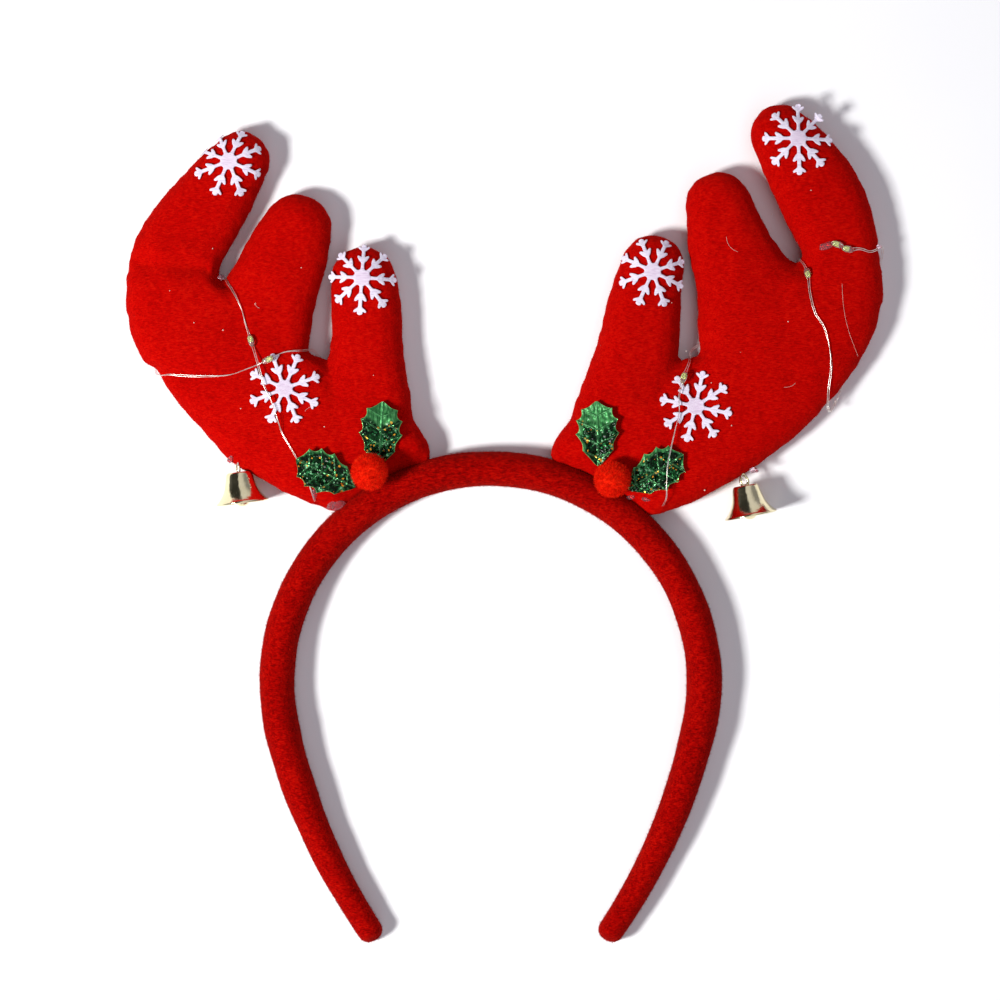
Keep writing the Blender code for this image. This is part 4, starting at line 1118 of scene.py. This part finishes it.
# Outer side. Columns: distance down, radius, as shares of the bell's height and its mouth's radius.
BELL_SIDE = ((0.00, 0.0), (0.00, 0.38), (0.015, 0.445), (0.07, 0.49), (0.20, 0.53), (0.40, 0.585),
             (0.60, 0.66), (0.78, 0.785), (0.90, 0.905), (0.955, 0.975), (0.985, 1.0))


def bell_place(side):
    """The turn that lays the bell's axis level, mouth on its heading, and the move to its crown."""
    out, up, heading = BELLS[side][:3]
    crown = on_antler(side, (out, up))
    laid_down = Matrix.Rotation(math.radians(-90), 4, "X")
    turn = Matrix.Rotation(math.radians(heading + 90), 4, "Z") @ laid_down
    return Matrix.Translation((crown[0], crown[1], BELL_RADIUS)) @ turn


def bell_profile():
    """Down the outer side, round the rolled rim as a half circle, and up inside a wall's thickness in."""
    outer = smooth_rows([(radius * BELL_RADIUS, -down * BELL_HEIGHT) for down, radius in BELL_SIDE], 5)
    roll = np.linspace(0.4, math.pi + 0.3, 9)[:, None]
    rim = outer[-1] + RIM_ROLL * np.hstack([np.cos(roll) - 1, -np.sin(roll)])
    inner = outer[::-1] - (BELL_WALL, 0)
    inner[:, 1] = np.minimum(inner[:, 1], -BELL_WALL)
    inner = inner[(inner[:, 0] > 0) & (inner[:, 0] < rim[-1, 0])]
    return np.vstack([outer, rim, inner, [(0.0, -BELL_WALL)]])


def add_bell(side):
    """The turned body and its ear, a wire loop that narrows upwards: its width falls with the cosine."""
    place = bell_place(side)
    body = spun(bell_profile(), place, 96)
    turn = np.linspace(0, 2 * math.pi, 49)[:-1]
    width, tall, wire = np.array(BELLS[side][3:]) * MM
    ring = np.column_stack([width * (0.75 + 0.35 * np.cos(turn)) * np.sin(turn), 0 * turn,
                            tall * (1 - np.cos(turn)) - 0.1 * MM])
    ear = tube(moved(np.vstack([ring, ring[:1]]), place), wire, 14)
    bell = piece("bell_" + side + "_brass", *joined([body, ear]), bell_gold.material, "bell_gold")
    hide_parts("bell_" + side)
    return bell


def add_clapper(side):
    """Stem and ball hanging from the crown, leaning towards the table."""
    low, high = (np.array(corner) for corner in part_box("clapper_" + side))
    tilt = np.linspace(0.12, math.pi, 20)
    ball = -BELL_HEIGHT + CLAPPER_RADIUS * 0.4
    stem = [(0.0, -0.8 * MM), (STEM_RADIUS, -0.8 * MM), (STEM_RADIUS, ball + 0.98 * CLAPPER_RADIUS)]
    rows = stem + [(CLAPPER_RADIUS * math.sin(t), ball + CLAPPER_RADIUS * math.cos(t)) for t in tilt]
    lean = Matrix.Rotation(math.atan2(LEANS_BY, -HANGS_FROM - ball), 4, "X")
    hang = Matrix.Translation((0, 0, -HANGS_FROM)) @ lean @ Matrix.Translation((0, 0, HANGS_FROM))
    clapper = piece("clapper_" + side + "_brass", *spun(rows, bell_place(side) @ hang, 48),
                    bell_gold.material, "bell_gold")
    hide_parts("clapper_" + side)
    inside = points_of(clapper.data)
    apart = np.abs([inside.min(axis=0) - low, inside.max(axis=0) - high]).max()
    print(side, "clapper's box differs from the solid's by", np.round(1000 * apart, 2), "mm")


for side in SIDES:
    add_bell(side)
    add_clapper(side)

# %% [markdown]
# ## Threads and light strings
# A loop of clear thread holds each bell. Each light string is two bare wires that run side by side,
# cross now and then, and part round a lamp. The route repeats the measured points: outwards, up, the
# face of the felt it lies on, and its lift. Two tubes follow it, half a turn apart.

# %% Routes of the light strings
WIRE = 0.095 * MM
STRAND_GAP = 0.25 * MM
LAMP_RADIUS = 1.05 * MM
LAMP_LENGTH = 4 * MM
CHIP = np.array([0.95, 0.62, 0.36]) * MM
# How much further apart the strands run round a lamp, and over what length.
PARTED = 0.35 * MM
PARTED_OVER = 2.2 * MM
# How far the string's centre line keeps from the felt, and from the table.
CLEAR = 0.30 * MM
OVER_TABLE = 0.35 * MM
# Columns: outwards and up as shares of the antler's height, face of the felt (1 front, 0 edge,
# -1 back), lift over it in millimetres, and whether a lamp sits there.
ROUTES = {
    "left": (
        (0.145, -0.044, 1, 0.0, 0), (0.155, -0.016, 1, 0.0, 0), (0.168, 0.021, 1, 0.0, 0),
        (0.197, 0.076, 1, 0.0, 0), (0.228, 0.130, 1, 0.0, 0), (0.241, 0.169, 1, 1.5, 0),
        (0.257, 0.216, 1, 1.5, 0), (0.275, 0.255, 1, 1.6, 0), (0.290, 0.307, 1, 1.6, 0),
        (0.309, 0.370, 1, 0.0, 1), (0.324, 0.414, 1, 0.0, 0), (0.335, 0.453, 1, 0.0, 0),
        (0.358, 0.500, 1, 0.0, 0), (0.391, 0.540, 0, 0.0, 0), (0.430, 0.480, -1, 0.0, 0),
        (0.500, 0.375, -1, 0.0, 0), (0.562, 0.294, 0, 0.0, 0), (0.522, 0.284, 1, 0.0, 0),
        (0.447, 0.279, 1, 0.0, 0), (0.371, 0.281, 1, 0.0, 0), (0.324, 0.296, 1, 0.0, 0),
        (0.291, 0.309, 1, 0.1, 0), (0.266, 0.320, 1, 1.5, 1), (0.225, 0.340, 1, 1.6, 0),
        (0.181, 0.345, 1, 1.0, 0), (0.147, 0.345, 0, 0.0, 0), (0.121, 0.292, -1, 0.0, 0),
        (0.070, 0.258, -1, 0.0, 0),
    ),
    "right": (
        (0.137, -0.057, 1, 0.6, 0), (0.145, -0.036, 1, 2.2, 0), (0.145, -0.005, 1, 2.8, 0),
        (0.147, 0.042, 1, 2.8, 0), (0.155, 0.086, 1, 2.2, 0), (0.168, 0.143, 1, 1.6, 0),
        (0.178, 0.185, 1, 1.5, 0), (0.178, 0.227, 1, 1.5, 0), (0.190, 0.276, 1, 1.5, 1),
        (0.207, 0.318, 1, 0.4, 0), (0.216, 0.350, 0, 0.0, 0), (0.275, 0.388, -1, 0.0, 0),
        (0.379, 0.466, -1, 0.0, 0), (0.457, 0.531, -1, 0.0, 0), (0.496, 0.578, 0, 0.0, 0),
        (0.512, 0.547, 1, 0.0, 1), (0.517, 0.495, 1, 0.0, 0), (0.530, 0.443, 1, 0.0, 0),
        (0.553, 0.406, 1, 0.0, 0), (0.566, 0.359, 1, 0.0, 0), (0.572, 0.302, 1, 0.0, 0),
        (0.566, 0.227, 1, 0.0, 0), (0.575, 0.188, 0, 0.0, 0), (0.610, 0.262, -1, 0.0, 0),
        (0.655, 0.400, -1, 0.0, 0), (0.686, 0.505, -1, 0.0, 0), (0.712, 0.612, 0, 0.0, 0),
        (0.676, 0.602, 1, 0.0, 0), (0.647, 0.609, 1, 0.0, 0), (0.616, 0.607, 1, 0.0, 1),
        (0.590, 0.620, 1, 0.0, 0), (0.572, 0.622, 1, 0.0, 1),
    ),
}


def nearest(points, others):
    """Number of the nearest of the others for each point, in blocks that fit in memory."""
    blocks = [np.linalg.norm(block[:, None] - others, axis=2).argmin(axis=1)
              for block in np.array_split(points, max(1, len(points) // 40))]
    return np.concatenate(blocks)


def stand_off(points, surface, normals, clear):
    """Moves each point out along the nearest normal until it stands clear of the surface."""
    near = nearest(points, surface)
    away = np.einsum("ij,ij->i", points - surface[near], normals[near])
    return points + normals[near] * np.clip(clear - away, 0, None)[:, None]


def route_line(side):
    """Centre line of the string, a point every third of a millimetre, and the lamps' places on it."""
    rows = smooth_rows(ROUTES[side], 12)
    plan = on_antler(side, rows[:, :2])
    face = np.clip(rows[:, 2], -1, 1)
    felt_map = felt_maps[side]
    front = felt_map.heights(plan) + rows[:, 3] * MM + CLEAR
    behind = felt_map.heights(plan, back=True) - CLEAR
    height = np.where(face > 0, SEAM_Z + face * (front - SEAM_Z), SEAM_Z - face * (behind - SEAM_Z))
    line = np.column_stack([plan, height])
    run = np.concatenate([[0], np.cumsum(np.linalg.norm(np.diff(line, axis=0), axis=1))])
    lamps = [run[12 * number] for number, row in enumerate(ROUTES[side]) if row[4]]
    even = np.linspace(0, run[-1], int(run[-1] / (0.33 * MM)))
    line = np.column_stack([np.interp(even, run, line[:, axis]) for axis in range(3)])
    surface, normals = points_of(antlers[side].data), normals_of(antlers[side].data)
    for _ in range(5):
        line = stand_off(line, surface, normals, 0.32 * MM)
        line[1:-1] = (line[:-2] + 2 * line[1:-1] + line[2:]) / 4
    line = stand_off(line, surface, normals, CLEAR)
    line[:, 2] = np.maximum(line[:, 2], OVER_TABLE)
    return line, even, lamps


def add_light_string(side):
    """Two strands: centre line +- gap * (cos a * one side + sin a * the other), a turns slowly along."""
    line, run, lamps = route_line(side)
    one, other = side_directions(line)
    turn = (1.3 * np.sin(run / (11 * MM)) + run / (45 * MM))[:, None]
    part = np.full(len(run), STRAND_GAP)
    for lamp_at in lamps:
        part = part + PARTED * np.exp(-((run - lamp_at) / PARTED_OVER)**2)
    across = part[:, None] * (np.cos(turn) * one + np.sin(turn) * other)
    strands = joined([tube(line + across, WIRE, 8), tube(line - across, WIRE, 8)])
    string = piece("light_string_" + side + "_wires", *strands, wire_silver.material, "wire_silver")
    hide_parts("light_string_" + side)
    drops, chips = [], []
    for lamp_at in lamps:
        at = int(np.argmin(np.abs(run - lamp_at)))
        at = min(max(at, 6), len(line) - 7)
        along = unit(line[at + 5] - line[at - 5])
        t = np.linspace(-1, 1, 27)
        axis = line[at] + t[:, None] * LAMP_LENGTH / 2 * along + (0, 0, 0.35 * MM)
        drops.append(tube(axis, LAMP_RADIUS * np.sqrt(np.clip(1 - np.abs(t)**2.4, 0.0004, 1)), 24))
        sideways = unit(np.cross((0, 0, 1.0), along))
        axes = np.column_stack([along, sideways, np.cross(along, sideways)])
        box, faces = lump(np.zeros(3), CHIP, 0.35)
        place = Matrix.Translation(line[at] + along * 0.5 * MM + (0, 0, 0.55 * MM))
        chips.append((moved(box, place @ Matrix(axes.tolist()).to_4x4()), faces))
    piece("light_string_" + side + "_drops", *joined(drops), resin.material, "wire_silver")
    piece("light_string_" + side + "_chips", *joined(chips), lamp_chip.material, "wire_silver")
    print(side, "light string", round(1000 * run[-1]), "mm,", len(lamps), "lamps")


for side in SIDES:
    add_light_string(side)

# %% [markdown]
# ## Bell threads
# The thread leaves the seam above the bell, goes down through the ear and back, and is stuck to the
# edge with a drop of glue. Its points hang between the ear and the nearest place on the edge.

# %% Bell threads
THREAD = 0.17 * MM
# How far above the bell's crown the thread goes through the ear.
EYE = 1.5 * MM


def add_thread(side):
    """A closed-looking loop: from the edge over the ear's wire, through it, and back to the edge."""
    place = bell_place(side)
    eye = np.array(place @ Vector((0, 0, EYE)))
    surface = points_of(antlers[side].data)
    rim = np.abs(surface[:, 2] - SEAM_Z) < 1.0 * MM
    edge = surface[rim][np.hypot(*(surface[rim][:, :2] - eye[:2]).T).argmin()]
    up = unit((edge - eye) * (1, 1, 0))
    inward = edge + up * 0.8 * MM
    rows = [inward + (0, 0, 0.6 * MM), edge + (0, 0, 1.0 * MM), eye + up * 1.5 * MM + (0, 0, 1.2 * MM),
            eye + up * 0.5 * MM + (0, 0, 0.7 * MM), eye, eye + up * 0.5 * MM - (0, 0, 0.7 * MM),
            eye + up * 1.5 * MM - (0, 0, 0.9 * MM), edge - (0, 0, 0.7 * MM), inward - (0, 0, 0.5 * MM)]
    thread = piece("bell_thread_" + side + "_strand", *tube(smooth_rows(rows, 10), THREAD, 10),
                   thread_clear.material, "thread_clear")
    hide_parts("bell_thread_" + side)
    return edge


thread_ends = {side: add_thread(side) for side in SIDES}
print("threads end at", {side: np.round(1000 * end, 1).tolist() for side, end in thread_ends.items()})

# %% [markdown]
# ## Glue
# Drops of clear glue hold the threads, lamps and leaves. A real drop spreads before it sets, so each
# one is a flattened lump with a wavy outline, and glass-like rather than white.

# %% Glue drops
# Columns: outwards and up as shares of the antler's height, radius along and across in millimetres,
# turn in degrees, height in millimetres.
GLUE = {
    "left": ((0.147, -0.026, 0.8, 1.5, 0, 0.8), (0.104, -0.055, 1.5, 0.9, 35, 0.8),
             (0.088, -0.056, 2.3, 1.2, 30, 0.8), (0.366, 0.064, 1.3, 0.9, 60, 1.0),
             (0.391, 0.538, 1.0, 0.8, 0, 0.7)),
    "right": ((0.052, -0.036, 1.6, 0.7, 20, 0.7), (0.092, -0.040, 1.3, 0.6, -10, 0.6),
              (0.374, 0.036, 1.3, 0.9, 0, 1.0), (0.560, 0.617, 2.3, 1.2, 20, 1.0),
              (0.700, 0.617, 0.9, 0.7, 0, 0.6)),
}


def glue_drop(side, row, number):
    out, up, long, wide, turn, tall = row
    points, faces = lump(np.zeros(3), 1.0, rows=20, columns=36)
    points *= 1 + 0.14 * waviness(points, 1.6, 500 + number)[:, None]
    points = points * (long * MM, wide * MM, tall * MM)
    points = moved(points, Matrix.Rotation(math.radians(turn), 4, "Z"))
    plan = points[:, :2] + on_antler(side, (out, up))
    ground = felt_maps[side].heights(plan, 0.8 * MM)
    return np.column_stack([plan, ground + points[:, 2] * 0.8 + 0.1 * MM]), faces


for side in SIDES:
    drops = [glue_drop(side, row, 10 * number + len(side)) for number, row in enumerate(GLUE[side])]
    piece("glue_" + side, *joined(drops), glue_clear.material, "thread_clear")

# %% [markdown]
# ## Lint
# White specks of lint and single loose fibres show up on red felt more than anything else. A texture
# could paint them, but from the side they would lie flat, so each speck is a tiny lump and each fibre a
# thin bowed tube that rests on the map of the felt.

# %% Lint and loose fibres
# Specks seen on the felt: outwards and up as shares of the antler's height.
SPECKS = {
    "left": ((0.457, 0.417), (0.382, 0.398), (0.300, 0.466), (-0.007, 0.281), (0.336, 0.195),
             (0.120, 0.148), (0.520, 0.500), (0.410, 0.610), (0.180, 0.560)),
    "right": ((0.337, 0.341), (0.314, 0.151), (0.246, -0.016), (0.198, 0.345), (0.262, 0.262),
              (0.238, 0.190), (0.460, 0.420), (0.420, 0.700), (0.160, 0.470), (0.520, 0.760)),
}
# Loose fibres. Columns: start outwards and up, end outwards and up, bow to one side, all as shares.
HAIRS = {
    "left": ((0.298, 0.470, 0.288, 0.455, 0.004), (0.150, 0.200, 0.170, 0.188, 0.003)),
    "right": ((0.600, 0.518, 0.644, 0.331, 0.012), (0.300, 0.640, 0.330, 0.600, 0.008),
              (0.450, 0.250, 0.480, 0.262, 0.004)),
}
HAIR_RADIUS = 0.035 * MM
for side in SIDES:
    dice = np.random.default_rng(401 + len(side))
    specks = []
    for place in on_antler(side, SPECKS[side]):
        size = dice.uniform(0.10, 0.26, 3) * MM * (1, 1, 0.7)
        ground = felt_maps[side].heights(place[None])[0]
        specks.append(lump(np.array([*place, ground + 0.15 * MM]), size, rows=8, columns=12))
    for row in HAIRS[side]:
        start, end = on_antler(side, row[0:2]), on_antler(side, row[2:4])
        t = np.linspace(0, 1, 40)[:, None]
        sideways = np.array([end[1] - start[1], start[0] - end[0]]) / np.hypot(*(end - start))
        bow = sideways * row[4] * ANTLER_HEIGHT
        plan = start + t * (end - start) + np.sin(math.pi * t) * bow
        hair = np.column_stack([plan, felt_maps[side].heights(plan) + 0.18 * MM])
        specks.append(tube(hair, HAIR_RADIUS, 6))
    piece("lint_" + side, *joined(specks), speck_pale.material, "thread_clear")
    print(side, "specks and loose fibres:", len(specks))
